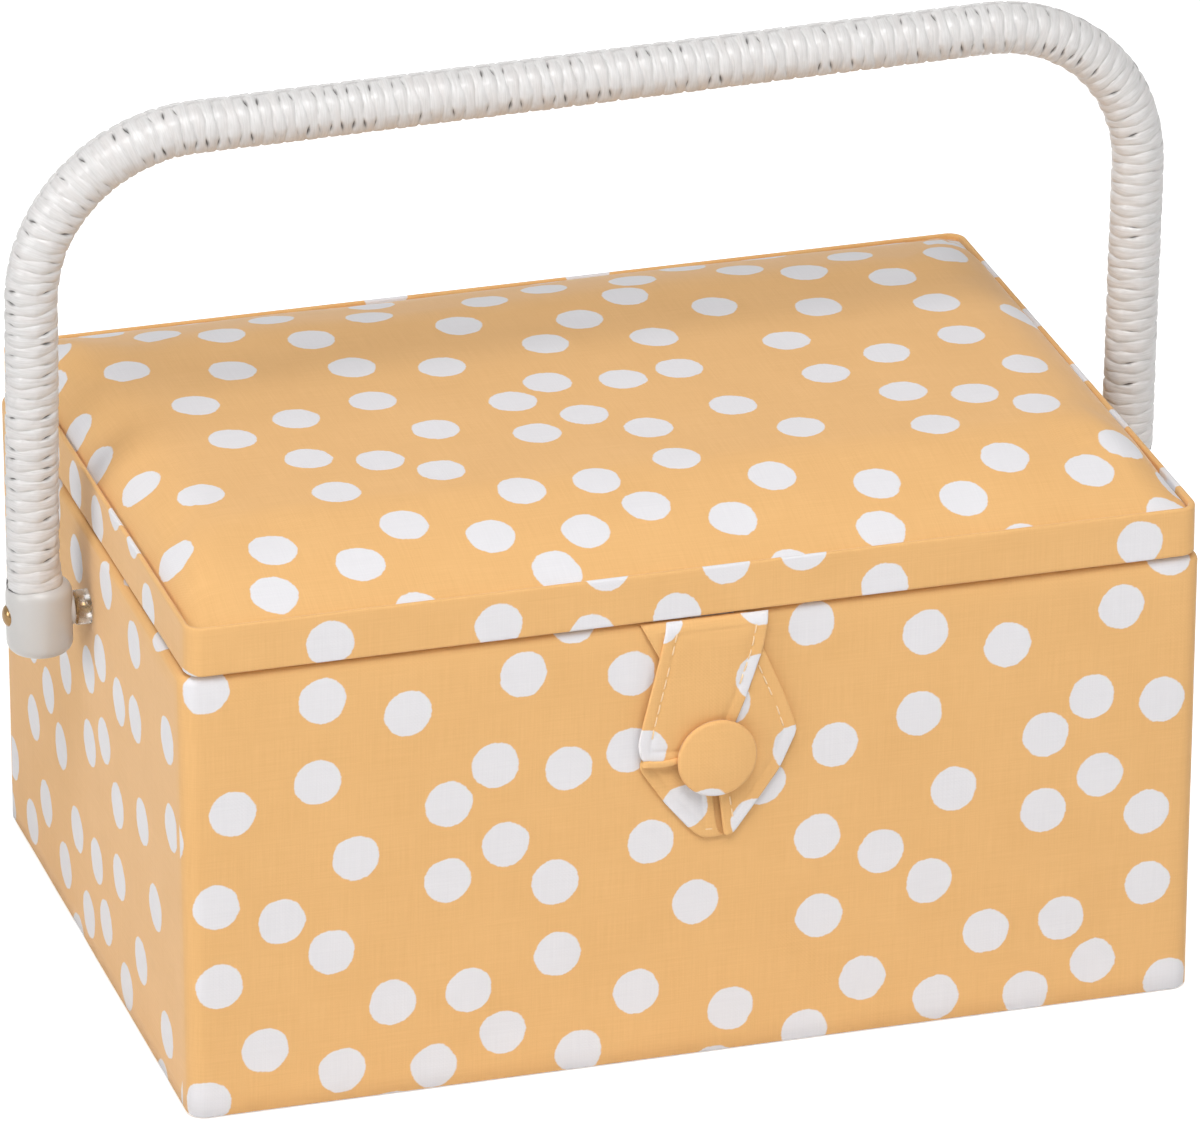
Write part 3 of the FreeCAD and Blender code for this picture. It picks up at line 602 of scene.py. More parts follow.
def wood(name, light, deep):
    """Planed softwood with its grain along the piece."""
    material, tree, surface = new_material(name)
    place = node(tree, "ShaderNodeTexCoord").outputs["Object"]
    bent = vector_of(tree, "MULTIPLY", place, (300, 22, 300))
    grain = noise_of(tree, bent, 1.0, 5.0, 0.65)
    colour = mixed(tree, stretched(tree, grain, 0.35, 0.65), deep, light)
    tree.links.new(colour, surface["Base Color"])
    tree.links.new(stretched(tree, grain, 0, 1, 0.7, 0.5), surface["Roughness"])
    bump(tree, surface, grain, 0.3, 0.1 * MM)
    return material


def clear_plastic():
    material, tree, surface = new_material("clear moulding")
    place = node(tree, "ShaderNodeTexCoord").outputs["Object"]
    look = group(tree, MOTTLE, {"Place": place, "Size": 5 * MM})
    colour = mixed(tree, look["Shade"], (0.90, 0.90, 0.89, 1), (0.96, 0.96, 0.95, 1))
    tree.links.new(colour, surface["Base Color"])
    tree.links.new(stretched(tree, look["Shade"], 0.3, 0.7, 0.32, 0.2), surface["Roughness"])
    surface["Transmission Weight"].default_value = 1.0
    surface["IOR"].default_value = 1.49
    bump(tree, surface, look["Scratches"], 0.2, 0.01 * MM)
    return material


def cane():
    """Glossy white cane with fine lengthways fibres, with shade painted near black down in the slits between
    the turns.
    """
    material, tree, surface = new_material("white cane")
    wound = node(tree, "ShaderNodeUVMap", uv_map="cloth").outputs["UV"]
    fibres = noise_of(tree, vector_of(tree, "MULTIPLY", wound, (160, 2600, 1)), 1.0, 3.0, 0.6)
    tone = noise_of(tree, vector_of(tree, "MULTIPLY", wound, (60, 345, 1)), 1.0, 2.0)
    colour = mixed(tree, stretched(tree, fibres, 0.3, 0.7), (0.56, 0.545, 0.535, 1), (0.675, 0.665, 0.66, 1))
    colour = mixed(tree, stretched(tree, tone, 0.45, 0.75, 0.0, 0.35), colour, (0.64, 0.59, 0.57, 1))
    # Painted shade: the slits between the turns are coloured near black, where shade falls in them
    slit_shade_mask = node(tree, "ShaderNodeAttribute", attribute_name="slit_shade_mask").outputs["Fac"]
    colour = mixed(tree, slit_shade_mask, colour, (0.045, 0.04, 0.038, 1))
    tree.links.new(colour, surface["Base Color"])
    tree.links.new(stretched(tree, fibres, 0.2, 0.8, 0.42, 0.28), surface["Roughness"])
    surface["Coat Weight"].default_value = 0.2
    bump(tree, surface, fibres, 0.8, 0.09 * MM)
    return material


THREAD = 0.5 * MM
printed_cotton = cotton("printed cotton", APRICOT, APRICOT_DEEP, THREAD, DOTS)
band_cotton = cotton("printed cotton of the band", APRICOT, APRICOT_DEEP, THREAD, BAND_PRINT)
loop_cotton = cotton("printed cotton of the loop", APRICOT, APRICOT_DEEP, THREAD, LOOP_PRINT)
pad_cotton = cotton("printed cotton of the pad", APRICOT, APRICOT_DEEP, THREAD, DOTS,
                    changed=(PAD_WITHOUT, PAD_WITH))
plain_cotton = cotton("plain cotton", APRICOT, APRICOT_DEEP, THREAD)
lining_cotton = cotton("lining cloth", (0.86, 0.80, 0.68, 1), (0.78, 0.71, 0.58, 1), 0.4 * MM, sheen=0.3,
                       roughness=0.7)
cushion_cotton = cotton("pincushion cloth", (0.84, 0.77, 0.62, 1), (0.76, 0.68, 0.52, 1), 0.6 * MM, sheen=0.3)
stitch_thread = cotton("sewing thread", (0.88, 0.67, 0.42, 1), (0.80, 0.56, 0.32, 1), 0.25 * MM,
                       roughness=0.6)
fibreboard = board()
ledge_wood = wood("planed ledge", (0.62, 0.44, 0.25, 1), (0.48, 0.31, 0.16, 1))
rod_wood = wood("bent rod", (0.55, 0.37, 0.2, 1), (0.4, 0.25, 0.12, 1))
milky_plastic = hard("milky moulding", (0.545, 0.533, 0.520, 1), (0.505, 0.490, 0.475, 1), 0.36, coat=0.1)
tray_plastic = hard("tray moulding", (0.865, 0.855, 0.825, 1), (0.85, 0.84, 0.81, 1), 0.36, size=20 * MM,
                    spread=0.015)
brass = hard("polished brass", (0.33, 0.21, 0.10, 1), (0.24, 0.15, 0.07, 1), 0.17, metallic=1.0)
pressed_metal = hard("pressed hinge metal", (0.72, 0.58, 0.32, 1), (0.55, 0.42, 0.2, 1), 0.34, metallic=1.0)
clear = clear_plastic()
white_cane = cane()

NODE_FINISH = {
    fibreboard: ["front_board", "back_board", "left_board", "right_board", "base_board", "lid_strip_front",
                 "lid_strip_back", "lid_strip_left", "lid_strip_right", "lid_board"],
    ledge_wood: ["tray_ledge_left", "tray_ledge_right"],
    tray_plastic: ["tray"],
    pressed_metal: ["hinge_base_leaves", "hinge_lid_leaves", "hinge_pins"],
}
for finish, names in NODE_FINISH.items():
    for name in names:
        paint(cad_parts[name], finish)


# Print laid over each side of the box: turn in degrees, and shift across and up in millimetres
SIDE_LAY = {FRONT: (0.84, -0.43, -0.07), RIGHT: (0.84, 223.6, 2.8), BACK: (0.84, 446.9, 6.1),
            LEFT: (2.5, 96.3, -4.1)}
TOP_LAY = (-0.24, -44.65, 83.86)
# How far the cloth is pulled askew: across for each step across and up, and up for each step across and up
FRONT_PULL = (0.006, -0.0046, -0.0032, 0.0016)
TOP_PULL = (0.0079, 0.0072, 0.0221, -0.0071)
NO_PULL = (0.0, 0.0, 0.0, 0.0)
SIDE_PULL = {FRONT: FRONT_PULL, RIGHT: NO_PULL, BACK: NO_PULL, LEFT: (-0.0145, 0.0, -0.009, 0.0)}


def laid(lay, pull, across, up):
    """A spot on the print for a spot on a panel."""
    turn = math.radians(lay[0])
    u = across * (math.cos(turn) + pull[0]) - up * (math.sin(turn) - pull[1]) + lay[1] * MM
    v = across * (math.sin(turn) + pull[2]) + up * (math.cos(turn) + pull[3]) + lay[2] * MM
    return u, v


def side_print(side, across, up):
    return laid(SIDE_LAY[side], SIDE_PULL[side], across, up)


def band_print(side, across, up):
    """The band's cloth runs round it in one length."""
    middles = {FRONT: 0.0, RIGHT: HALF_X + HALF_Y, BACK: 2 * (HALF_X + HALF_Y), LEFT: -HALF_X - HALF_Y}
    return across + middles[side], up


def stood_out(made):
    """Lets the front of the lid stand out over the base."""
    start = HALF_Y - PROUD_RUN
    for vertex in made.data.vertices:
        vertex.co.y -= LID_PROUD * min(1.0, max(0.0, (-vertex.co.y - start) / (HALF_Y - BAND - start)))
    return made


# Base cover

def base_cover():
    foot, top = cover_low.z, BASE_TOP
    inner = WALL - CLOTH
    outline = [(0.5 * MM, foot)]
    outline += [(0.0, height) for height in steps(foot + 0.6 * MM, top - TOP_ROUND, ROW_STEP)]
    outline += arc((TOP_ROUND, top - TOP_ROUND), TOP_ROUND, 180, 90, 4)[1:]
    outline += arc((WALL - TOP_ROUND, top - TOP_ROUND), TOP_ROUND, 90, 0, 4)
    outline += [(WALL, height) for height in steps(top - 2 * TOP_ROUND, top - HEM, ROW_STEP)]
    outline += [(inner, top - HEM), (inner, top - CLOTH), (CLOTH, top - CLOTH), (CLOTH, foot)]
    made = ring("base_cloth", HALF_X, HALF_Y, CORNER, outline, side_print, BOARD_WAVE, BASE_SPREAD)
    outward_normals(made)
    paint(made, printed_cotton)
    set_out(made, "base", "printed_cotton", "outer_cover")


def lid_band_cloth():
    low, high = band_low.z - LID_SETTLE, band_high.z
    room = HALF_X - lid_lining_high.x
    outline = arc((BAND_ROUND, low + BAND_ROUND), BAND_ROUND, 270, 180, 3)
    outline += [(0.0, height) for height in steps(low + 2.5 * BAND_ROUND, high - 2.5 * BAND_ROUND, 2.5 * MM)]
    outline += arc((BAND_ROUND, high - BAND_ROUND), BAND_ROUND, 180, 90, 3)
    outline += arc((BAND - BAND_ROUND, high - BAND_ROUND), BAND_ROUND, 90, 0, 3)
    outline += [(BAND, low + CLOTH), (room, low + CLOTH), (room, low)]
    made = ring("lid_band_cloth", HALF_X, HALF_Y, CORNER, outline, band_print, 0.5 * BOARD_WAVE, BAND_SPREAD)
    outward_normals(stood_out(made))
    paint(made, band_cotton)
    set_out(made, "lid", "printed_cotton", "lid_band")
    anchor_strip()


# Padded top

def shoulder(distance, length):
    """How much of the crown's height is reached at a distance from the edge."""
    return 1 - max(0.0, 1 - distance / length) ** PAD_FULLNESS


def slope_run(reach, length, rise):
    """How much longer the cloth is than its shadow, from the level top out to a distance from the edge."""
    if reach >= length:
        return 0.0
    count = 16
    step = (length - max(reach, 0.0)) / count
    run = 0.0
    for n in range(count):
        at = reach + (n + 0.5) * step
        slope = rise * (shoulder(at + step / 2, length) - shoulder(at - step / 2, length)) / step
        run += (math.sqrt(1 + slope * slope) - 1) * step
    return run


def top_print(x, y, half_x, half_y):
    """The spot on the print, measured along the padded slopes."""
    reach_x, reach_y = half_x - abs(x), half_y - abs(y)
    run_x = slope_run(reach_x, PAD_SIDE_SHOULDER, PAD_RISE * shoulder(reach_y, PAD_FRONT_SHOULDER))
    run_y = slope_run(reach_y, PAD_FRONT_SHOULDER, PAD_RISE * shoulder(reach_x, PAD_SIDE_SHOULDER))
    return laid(TOP_LAY, TOP_PULL, x + math.copysign(run_x, x), y + math.copysign(run_y, y))


def crown(x, y, half_x, half_y):
    """Height of the padded top over its edge."""
    reach_x, reach_y = half_x - abs(x), half_y - abs(y)
    rise = PAD_RISE * shoulder(reach_x, PAD_SIDE_SHOULDER) * shoulder(reach_y, PAD_FRONT_SHOULDER)
    uneven = noise.noise(Vector((x, y, 0.3)) * 14) * 0.5 + noise.noise(Vector((x, y, 0.7)) * 40) * 0.18
    calm = min(1.0, min(reach_x, reach_y) / (12 * MM))
    return rise + uneven * MM * calm


def spaced(half, shoulder_length):
    """Grid lines over a width, closer together near the edges."""
    fine = [half - shoulder_length * (n / EDGE_LINES) ** 1.4 for n in range(EDGE_LINES + 1)]
    middle = steps(fine[-1], 0.0, 2 * PAD_STEP)[1:]
    right = fine + middle
    return [-v for v in right[:-1]] + right[::-1]


def filled(made, reaches, edge):
    """Fills the pad with a short cloth simulation, and keeps what the cover moved within a small limit."""
    rest = [vertex.co.copy() for vertex in made.data.vertices]
    held = made.vertex_groups.new(name="held")
    for vertex, reach in zip(made.data.vertices, reaches):
        weight = 1.0 if vertex.co.z < edge + 0.1 * MM else max(0.0, 1 - reach / (5 * MM))
        held.add([vertex.index], weight, "REPLACE")
    cloth = made.modifiers.new("cloth", "CLOTH")
    cloth.settings.vertex_group_mass = "held"
    cloth.settings.use_pressure = True
    cloth.settings.uniform_pressure_force = PAD_PRESSURE
    cloth.settings.effector_weights.gravity = 0.0
    cloth.settings.quality = 6
    cloth.settings.tension_stiffness = 25.0
    cloth.settings.bending_stiffness = 0.6
    cloth.point_cache.frame_start = 1
    cloth.point_cache.frame_end = PAD_FRAMES
    for frame_number in range(1, PAD_FRAMES + 1):
        bpy.context.scene.frame_set(frame_number)
    shaped = made.evaluated_get(bpy.context.evaluated_depsgraph_get())
    moved = [vertex.co.copy() for vertex in shaped.data.vertices]
    made.modifiers.remove(cloth)
    bpy.context.scene.frame_set(1)
    for vertex, start, end in zip(made.data.vertices, rest, moved):
        step = end - start
        if step.length > PAD_SWELL:
            step *= PAD_SWELL / step.length
        vertex.co = start + step
    made.vertex_groups.clear()


def padded_top():
    half_x, half_y = HALF_X - PAD_INSET, HALF_Y - PAD_INSET
    edge = band_high.z - PAD_DROP
    radius = CORNER - BAND
    xs, ys = spaced(half_x, PAD_SIDE_SHOULDER), spaced(half_y, PAD_FRONT_SHOULDER)
    points = []
    for y in ys:
        for x in xs:
            px, py, inward = rounded_spot(x, y, half_x, half_y, radius)
            points.append(Vector((px, py, edge + crown(px, py, half_x, half_y))))
    faces = pad_faces(points, len(xs), len(ys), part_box("lid_board")[1].z)
    spots = []
    for point in points:
        wider = 1 + PAD_SPREAD / half_x if point.x > 0 else 1.0
        point.x *= wider
        spots.append(top_print(point.x, point.y, half_x * wider, half_y))
    made = mesh_object("padded_top", points, faces, at_corners(faces, spots))
    outward_normals(stood_out(made))
    filled(made, [min(half_x - abs(p.x), half_y - abs(p.y)) for p in points], edge)
    paint(made, pad_cotton)
    set_out(made, "lid", "printed_cotton", "pad_cover", "lid_foam")


# Winding on the handle

winding_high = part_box("handle_winding")[1]
ferrule_low, ferrule_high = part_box("ferrules")
WINDING_RADIUS = 6.7 * MM
FLARE = 0.5 * MM
FLARE_LENGTH = 7.0 * MM
ARM_X = winding_high.x - 7.9 * MM
BAR_Z = winding_high.z - 7.1 * MM
BEND = 42.0 * MM
TURN_PITCH = 2.9 * MM
HANDLE_LEAN = 1.2 * MM
HANDLE_SPLAY = 1.0 * MM
HANDLE_TWIST = 2.2 * MM
HANDLE_SLOPE = 3.2 * MM
ARM_SHIFT = 0.5 * MM
ROD_RADIUS = 4.2 * MM
ROD_TUCK = 5 * MM
RIBS = 8
AROUND = 72
TURN_ROWS = (0.0, 0.07, 0.2, 0.38, 0.62, 0.8, 0.93)
# The weave of the cane: sizes in millimetres, and shares of a turn or of a rib's width
LOBE_RISE = 0.16
LOBE_SHIFT = 0.10
LOBE_UNEVEN = 0.07
SHIFT_UNEVEN = 0.05
GROOVE_SHARE = 0.11
GROOVE_DEPTH = 0.2
SLIT_SHARE = 0.27
SLIT_DEPTH = 0.9
SHALLOW_SLIT = 0.35
TURNED_IN = 1.2 * MM
STRAIGHT_RISE = BAR_Z - BEND - ferrule_high.z
QUARTER_BEND = BEND * math.pi / 2
HALF_HANDLE = STRAIGHT_RISE + QUARTER_BEND + (ARM_X - BEND)
HANDLE_LENGTH = 2 * HALF_HANDLE


def handle_line(distance):
    """The middle of the handle at a distance from the left ferrule, and the way outwards there."""
    side = -1 if distance < HALF_HANDLE else 1
    walked = distance if side < 0 else HANDLE_LENGTH - distance
    if walked < STRAIGHT_RISE:
        point, angle = Vector((ARM_X, 0, ferrule_high.z + walked)), 0.0
    elif walked < STRAIGHT_RISE + QUARTER_BEND:
        angle = (walked - STRAIGHT_RISE) / BEND
        centre = Vector((ARM_X - BEND, 0, BAR_Z - BEND))
        point = centre + Vector((math.cos(angle), 0, math.sin(angle))) * BEND
    else:
        angle = math.pi / 2
        point = Vector((ARM_X - BEND - (walked - STRAIGHT_RISE - QUARTER_BEND), 0, BAR_Z))
    outward = Vector((math.cos(angle), 0, math.sin(angle)))
    point.x *= side
    outward.x *= side
    share = (point.z - ferrule_high.z) / (BAR_Z - ferrule_high.z)
    left_share = (ARM_X - point.x) / (2 * ARM_X)
    lean = HANDLE_LEAN + HANDLE_SPLAY * (1 - left_share)
    point += Vector((lean, -HANDLE_TWIST * left_share, -HANDLE_SLOPE * left_share)) * share
    end = max(0.0, 1 - walked / FLARE_LENGTH)
    point.x -= side * ARM_SHIFT * end
    return point, outward


def handle_winding():
    """One strip of cane wound in a plain weave over lengthways ribs."""
    random.seed(4)
    turns = int(HANDLE_LENGTH / TURN_PITCH) + 2
    # How far a lobe's slit is open, its height and its shift along the handle
    lobes = {(turn, rib): (random.random() ** 1.6, random.uniform(-1, 1), random.uniform(-1, 1))
             for turn in range(-2, turns + 3) for rib in range(RIBS)}
    points, slit_shade, places = [], [], []
    rows = [(turn, share) for turn in range(turns) for share in TURN_ROWS]
    for turn, share in rows:
        for column in range(AROUND):
            angle = 2 * math.pi * column / AROUND
            crossing = RIBS / 2 * angle / math.pi
            rib = int(crossing) % RIBS
            height, shift = lobes[turn, rib][1:]
            shift_ahead = lobes[turn + 1, rib][2]
            wave = math.cos(math.pi * (crossing + turn))
            lean = -LOBE_SHIFT * wave * (1 - 2 * share)
            lean += SHIFT_UNEVEN * (shift * (1 - share) + shift_ahead * share)
            distance = (turn - 0.5 + share + lean - column / AROUND) * TURN_PITCH
            held = min(max(distance, -TURNED_IN), HANDLE_LENGTH + TURNED_IN)
            point, outward = handle_line(held)
            end = max(min(held, HANDLE_LENGTH - held), 0.0)
            radius = WINDING_RADIUS + FLARE * max(0.0, 1 - end / FLARE_LENGTH) ** 1.5
            rounding = min(share, 1 - share)
            groove = math.exp(-(rounding / GROOVE_SHARE) ** 2)
            number = turn if share < 0.5 else turn + 1
            half_way = crossing + number - 0.5
            crossed = round(half_way)
            gap = math.exp(-((half_way - crossed) / SLIT_SHARE) ** 2)
            opened = lobes[number, crossed % RIBS][0]
            gap *= opened if (crossed + number) % 2 else opened * SHALLOW_SLIT
            relief = LOBE_RISE * wave * math.sin(math.pi * share) + LOBE_UNEVEN * height
            relief -= GROOVE_DEPTH * groove
            radius += (relief - SLIT_DEPTH * groove * gap) * MM
            points.append(point + (outward * math.cos(angle) + BACKWARDS * math.sin(angle)) * radius)
            # Painted shade: how dark the cane is coloured down in each open slit, where shade falls
            slit_shade.append(min(1.0, max(0.0, groove ** 2 * gap * 2.6 - 0.6)))
            places.append((angle / (2 * math.pi) * 45 * MM, held))
    faces = []
    for row in range(len(rows) - 1):
        for column in range(AROUND):
            after = (column + 1) % AROUND
            step = 0 if after else len(TURN_ROWS)
            if row + 1 + step >= len(rows):
                continue
            faces.append((row * AROUND + column, (row + step) * AROUND + after,
                          (row + 1 + step) * AROUND + after, (row + 1) * AROUND + column))
    made = mesh_object("handle_cane", points, faces, at_corners(faces, places))
    # The mask of painted slit shade, which the cane material reads
    attribute = made.data.attributes.new("slit_shade_mask", "FLOAT", "POINT")
    attribute.data.foreach_set("value", slit_shade)
    paint(made, white_cane)
    set_out(made, "handle", "cane", "handle_winding")


def handle_rod():
    """The bent rod inside the winding."""
    rows = steps(-ROD_TUCK, HANDLE_LENGTH + ROD_TUCK, 4 * MM)
    around = 20
    points = []
    for distance in rows:
        held = min(max(distance, 0.0), HANDLE_LENGTH)
        point, outward = handle_line(held)
        point.z -= abs(distance - held)
        for n in range(around):
            angle = 2 * math.pi * n / around
            points.append(point + (outward * math.cos(angle) + BACKWARDS * math.sin(angle)) * ROD_RADIUS)
    faces = tube_faces(len(rows), around)
    made = paint(outward_normals(mesh_object("bent_rod", points, faces)), rod_wood)
    set_out(made, "handle", "handle_wood", "handle_core")


# Loop that closes the lid: corners across from the button's centre, and down from the lid's underside

button_low, button_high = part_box("covered_button")
loop_low, loop_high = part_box("closing_loop")
BUTTON_X = (button_low.x + button_high.x) / 2
BUTTON_Z = (button_low.z + button_high.z) / 2
BUTTON_RADIUS = (button_high.x - button_low.x) / 2
LAYER = (loop_high.y - loop_low.y) / 2
LOOP_BACK = loop_high.y
LOOP_TOP = loop_high.z
SHANK_HOLE = 2.6 * MM
BUTTON_THIN = 1.8 * MM
BUTTON_ACROSS = 1.3 * MM
BUTTON_DOWN = 1.7 * MM
HEM_ROUND = 0.5 * MM
TUCKED_ROUND = 0.2 * MM
STITCH_IN = 3.1 * MM
STITCH_LONG = 3.1 * MM
STITCH_GAP = 0.3 * MM
STITCH_RADIUS = 0.22 * MM
TAPE_CORNER = 1.6 * MM
TAPE_STEP = 1.7 * MM
TAPE_INSETS = (0.18 * MM, 0.5 * MM, 1.0 * MM, 2.1 * MM, STITCH_IN - 0.45 * MM, STITCH_IN,
               STITCH_IN + 0.45 * MM)
RIGHT_LEG = [(-17.7, 0.95), (9.8, 0.95), (14.2, 11.3), (20.3, 25.7), (23.1, 34.3), (18.5, 44.4), (11.4, 54.2),
             (6.2, 61.1), (4.0, 61.3), (2.7, 50.6), (1.8, 41.0), (-0.7, 31.9), (-13.0, 10.2)]
LEFT_LEG = [(-11.1, 0.95), (15.4, 0.95), (13.7, 10.8), (9.2, 23.8), (6.9, 29.4), (2.4, 39.2), (-9.1, 39.1),
            (-17.7, 37.9), (-18.8, 33.4), (-17.7, 28.4), (-13.5, 11.7)]
POINT_LEG = [(-17.7, 37.4), (-9.1, 38.4), (-1.0, 36.0), (0.9, 44.0), (1.3, 52.0), (2.6, 60.2), (4.6, 61.3),
             (-1.3, 61.5), (-4.3, 59.1), (-11.5, 50.3), (-18.0, 40.3)]
TUCK = [(-17.9, 37.0), (-13.0, 37.9), (-7.4, 37.2), (-7.0, 38.9), (-13.0, 39.8), (-18.3, 38.9)]


def eased(corners, radius):
    """A closed outline with its corners rounded off, except where it goes under the lid."""
    rounded = []
    for n, corner in enumerate(corners):
        here = Vector(corner)
        reach = TUCKED_ROUND if here.y > LOOP_TOP - 2 * MM else radius
        for other in (Vector(corners[n - 1]), Vector(corners[(n + 1) % len(corners)])):
            away = other - here
            rounded.append(here + away.normalized() * min(reach, away.length * 0.4))
        first, last = rounded[-2], rounded[-1]
        rounded[-1:] = [first * 0.25 + here * 0.5 + last * 0.25, last]
    return rounded


def walked(outline, spacing):
    """Points at even steps along a closed outline."""
    found = []
    for n, start in enumerate(outline):
        end = outline[(n + 1) % len(outline)]
        count = max(1, round((end - start).length / spacing))
        found += [start.lerp(end, step / count) for step in range(count)]
    return found


def edge_distance(point, outline):
    nearest = 1.0
    for n, start in enumerate(outline):
        end = outline[(n + 1) % len(outline)]
        along = end - start
        share = max(0.0, min(1.0, (point - start).dot(along) / max(along.length_squared, 1e-12)))
        nearest = min(nearest, (point - start - along * share).length)
    return nearest


def folded_tape(name, corners, level, print_shift, puff=0.2 * MM, hole=None):
    """A flat stretch of folded tape with soft edges and a sewn channel. level counts the tapes behind it."""
    placed = [(BUTTON_X + x * MM, LOOP_TOP - down * MM) for x, down in corners]
    outline = walked(eased(placed, TAPE_CORNER), 1.1 * MM)
    flat = [point.copy() for point in outline]
    low = Vector((min(p.x for p in outline), min(p.y for p in outline)))
    high = Vector((max(p.x for p in outline), max(p.y for p in outline)))
    edges = [(n, (n + 1) % len(outline)) for n in range(len(outline))]
    for inset in TAPE_INSETS:
        for n, point in enumerate(outline):
            along = (outline[(n + 1) % len(outline)] - outline[n - 1]).normalized()
            for inward in (Vector((-along.y, along.x)), Vector((along.y, -along.x))):
                candidate = point + inward * inset
                if edge_distance(candidate, outline) > inset * 0.93 and inside(candidate, outline):
                    flat.append(candidate)
    across = low.x
    while across < high.x:
        up = low.y
        while up < high.y:
            candidate = Vector((across, up))
            if inside(candidate, outline) and edge_distance(candidate, outline) > STITCH_IN + 1.2 * MM:
                flat.append(candidate)
            up += TAPE_STEP
        across += TAPE_STEP
    rim = list(range(len(outline)))
    found = geometry.delaunay_2d_cdt(flat, edges, [rim], 1, 1e-6)
    corners_out, triangles = found[0], found[2]
    if hole:
        middle, radius = hole
        triangles = [t for t in triangles
                     if (sum((corners_out[c] for c in t), Vector((0, 0))) / 3 - middle).length > radius]
    back = LOOP_BACK - level * LAYER
    front, depths = [], []
    for point in corners_out:
        inward = edge_distance(point, outline)
        round_share = min(inward / HEM_ROUND, 1.0)
        height = LAYER * (0.5 + 0.5 * math.sqrt(max(0.0, 1 - (1 - round_share) ** 2)))
        height -= 0.3 * MM * math.exp(-((inward - STITCH_IN) / (0.4 * MM)) ** 2)
        uneven = noise.noise(Vector((point.x, point.y, level)) * 120) - 0.3
        height += puff * min(1.0, inward / (4 * MM)) * uneven
        under = max(0.0, 1 - (LOOP_TOP - point.y) / (4 * MM)) ** 1.5 * 1.9 * MM
        front.append(Vector((point.x, back - height + under, point.y)))
        behind = LAYER * 0.5 * (1 - round_share)
        depths.append(Vector((point.x, back - behind + under, point.y)))
    count = len(front)
    points = front + depths
    faces, used = [], {}
    for a, b, c in triangles:
        faces += [(a, b, c), (c + count, b + count, a + count)]
        for start, end in ((a, b), (b, c), (c, a)):
            used[start, end] = used.get((start, end), 0) + 1
    for start, end in list(used):
        if (end, start) not in used:
            faces.append((end, start, start + count, end + count))
    spots = [(point.x + print_shift * MM, point.z) for point in points]
    return outward_normals(mesh_object(name, points, faces, at_corners(faces, spots)))


def inside(point, outline):
    """Whether a point lies inside a closed outline."""
    crossed = False
    for n, start in enumerate(outline):
        end = outline[n - 1]
        if (start.y > point.y) != (end.y > point.y):
            if point.x < (end.x - start.x) * (point.y - start.y) / (end.y - start.y) + start.x:
                crossed = not crossed
    return crossed


def stitch_row(name, line, level):
    """A row of single stitches along a line of (across, down) corners, lying in the sewn channel."""
    points, faces, places = [], [], []
    corners = [Vector((BUTTON_X + x * MM, LOOP_TOP - down * MM)) for x, down in line]
    front = LOOP_BACK - (level + 1) * LAYER + 0.12 * MM
    for start, end in zip(corners, corners[1:]):
        way = (end - start).normalized()
        length = (end - start).length
        at = STITCH_GAP / 2
        while at + STITCH_LONG <= length:
            first, last = start + way * at, start + way * (at + STITCH_LONG)
            add_stitch(points, faces, places, first, last, front)
            at += STITCH_LONG + STITCH_GAP
    return paint(outward_normals(mesh_object(name, points, faces, places)), stitch_thread)


def add_stitch(points, faces, places, first, last, front):
    """One stitch: a short thread that dips into the cloth at both ends."""
    way = (last - first).normalized()
    side = Vector((-way.y, way.x))
    rows, around = 7, 6
    start = len(points)
    for row in range(rows):
        share = row / (rows - 1)
        middle = first.lerp(last, share)
        dip = (2 * share - 1) ** 4 * 0.45 * MM
        thick = STITCH_RADIUS * (1 - 0.45 * (2 * share - 1) ** 4)
        for n in range(around):
            angle = 2 * math.pi * n / around
            off = side * math.cos(angle) * thick
            points.append(Vector((middle.x + off.x, front + dip - math.sin(angle) * thick, middle.y + off.y)))
    for row in range(rows - 1):
        for n in range(around):
            m = (n + 1) % around
            at, above = start + row * around, start + (row + 1) * around
            faces.append((at + n, at + m, above + m, above + n))
            share = (last - first).length * row / (rows - 1)
            places.extend([(0.3 * MM * n, share)] * 4)
    for row in (0, rows - 1):
        faces.append([start + row * around + n for n in range(around)])
        places.extend([(0.0, 0.0)] * around)


def closing_loop():
    middle = Vector((BUTTON_X + BUTTON_ACROSS, BUTTON_Z - BUTTON_DOWN))
    hole = (middle, SHANK_HOLE)
    tapes = [folded_tape("tape_right", RIGHT_LEG, 0.25, 200, hole=hole),
             folded_tape("tape_point", POINT_LEG, -0.2, 400, hole=hole),
             folded_tape("tape_left", LEFT_LEG, 1, 0, hole=hole),
             folded_tape("tape_tuck", TUCK, 1.7, 600, puff=0.0)]
    made = join("loop_tape", tapes)
    paint(made, loop_cotton)
    set_out(made, "loop", "printed_cotton", "closing_loop")
    rows = [stitch_row("stitches_left", [(-8.6, 3.2), (-10.6, 12.2), (-14.6, 28.8), (-15.4, 33.0)], 1),
            stitch_row("stitches_left_edge", [(12.0, 3.2), (10.7, 10.2), (6.6, 22.6)], 1),
            stitch_row("stitches_right", [(12.6, 15.0), (17.4, 26.8), (19.4, 33.2)], 0.25),
            stitch_row("stitches_right_hem", [(5.3, 50.0), (6.3, 57.0)], 0.25),
            stitch_row("stitches_tip", [(-1.6, 58.8), (2.6, 59.0)], -0.2)]
    for row in rows:
        set_out(row, "loop", "printed_cotton")


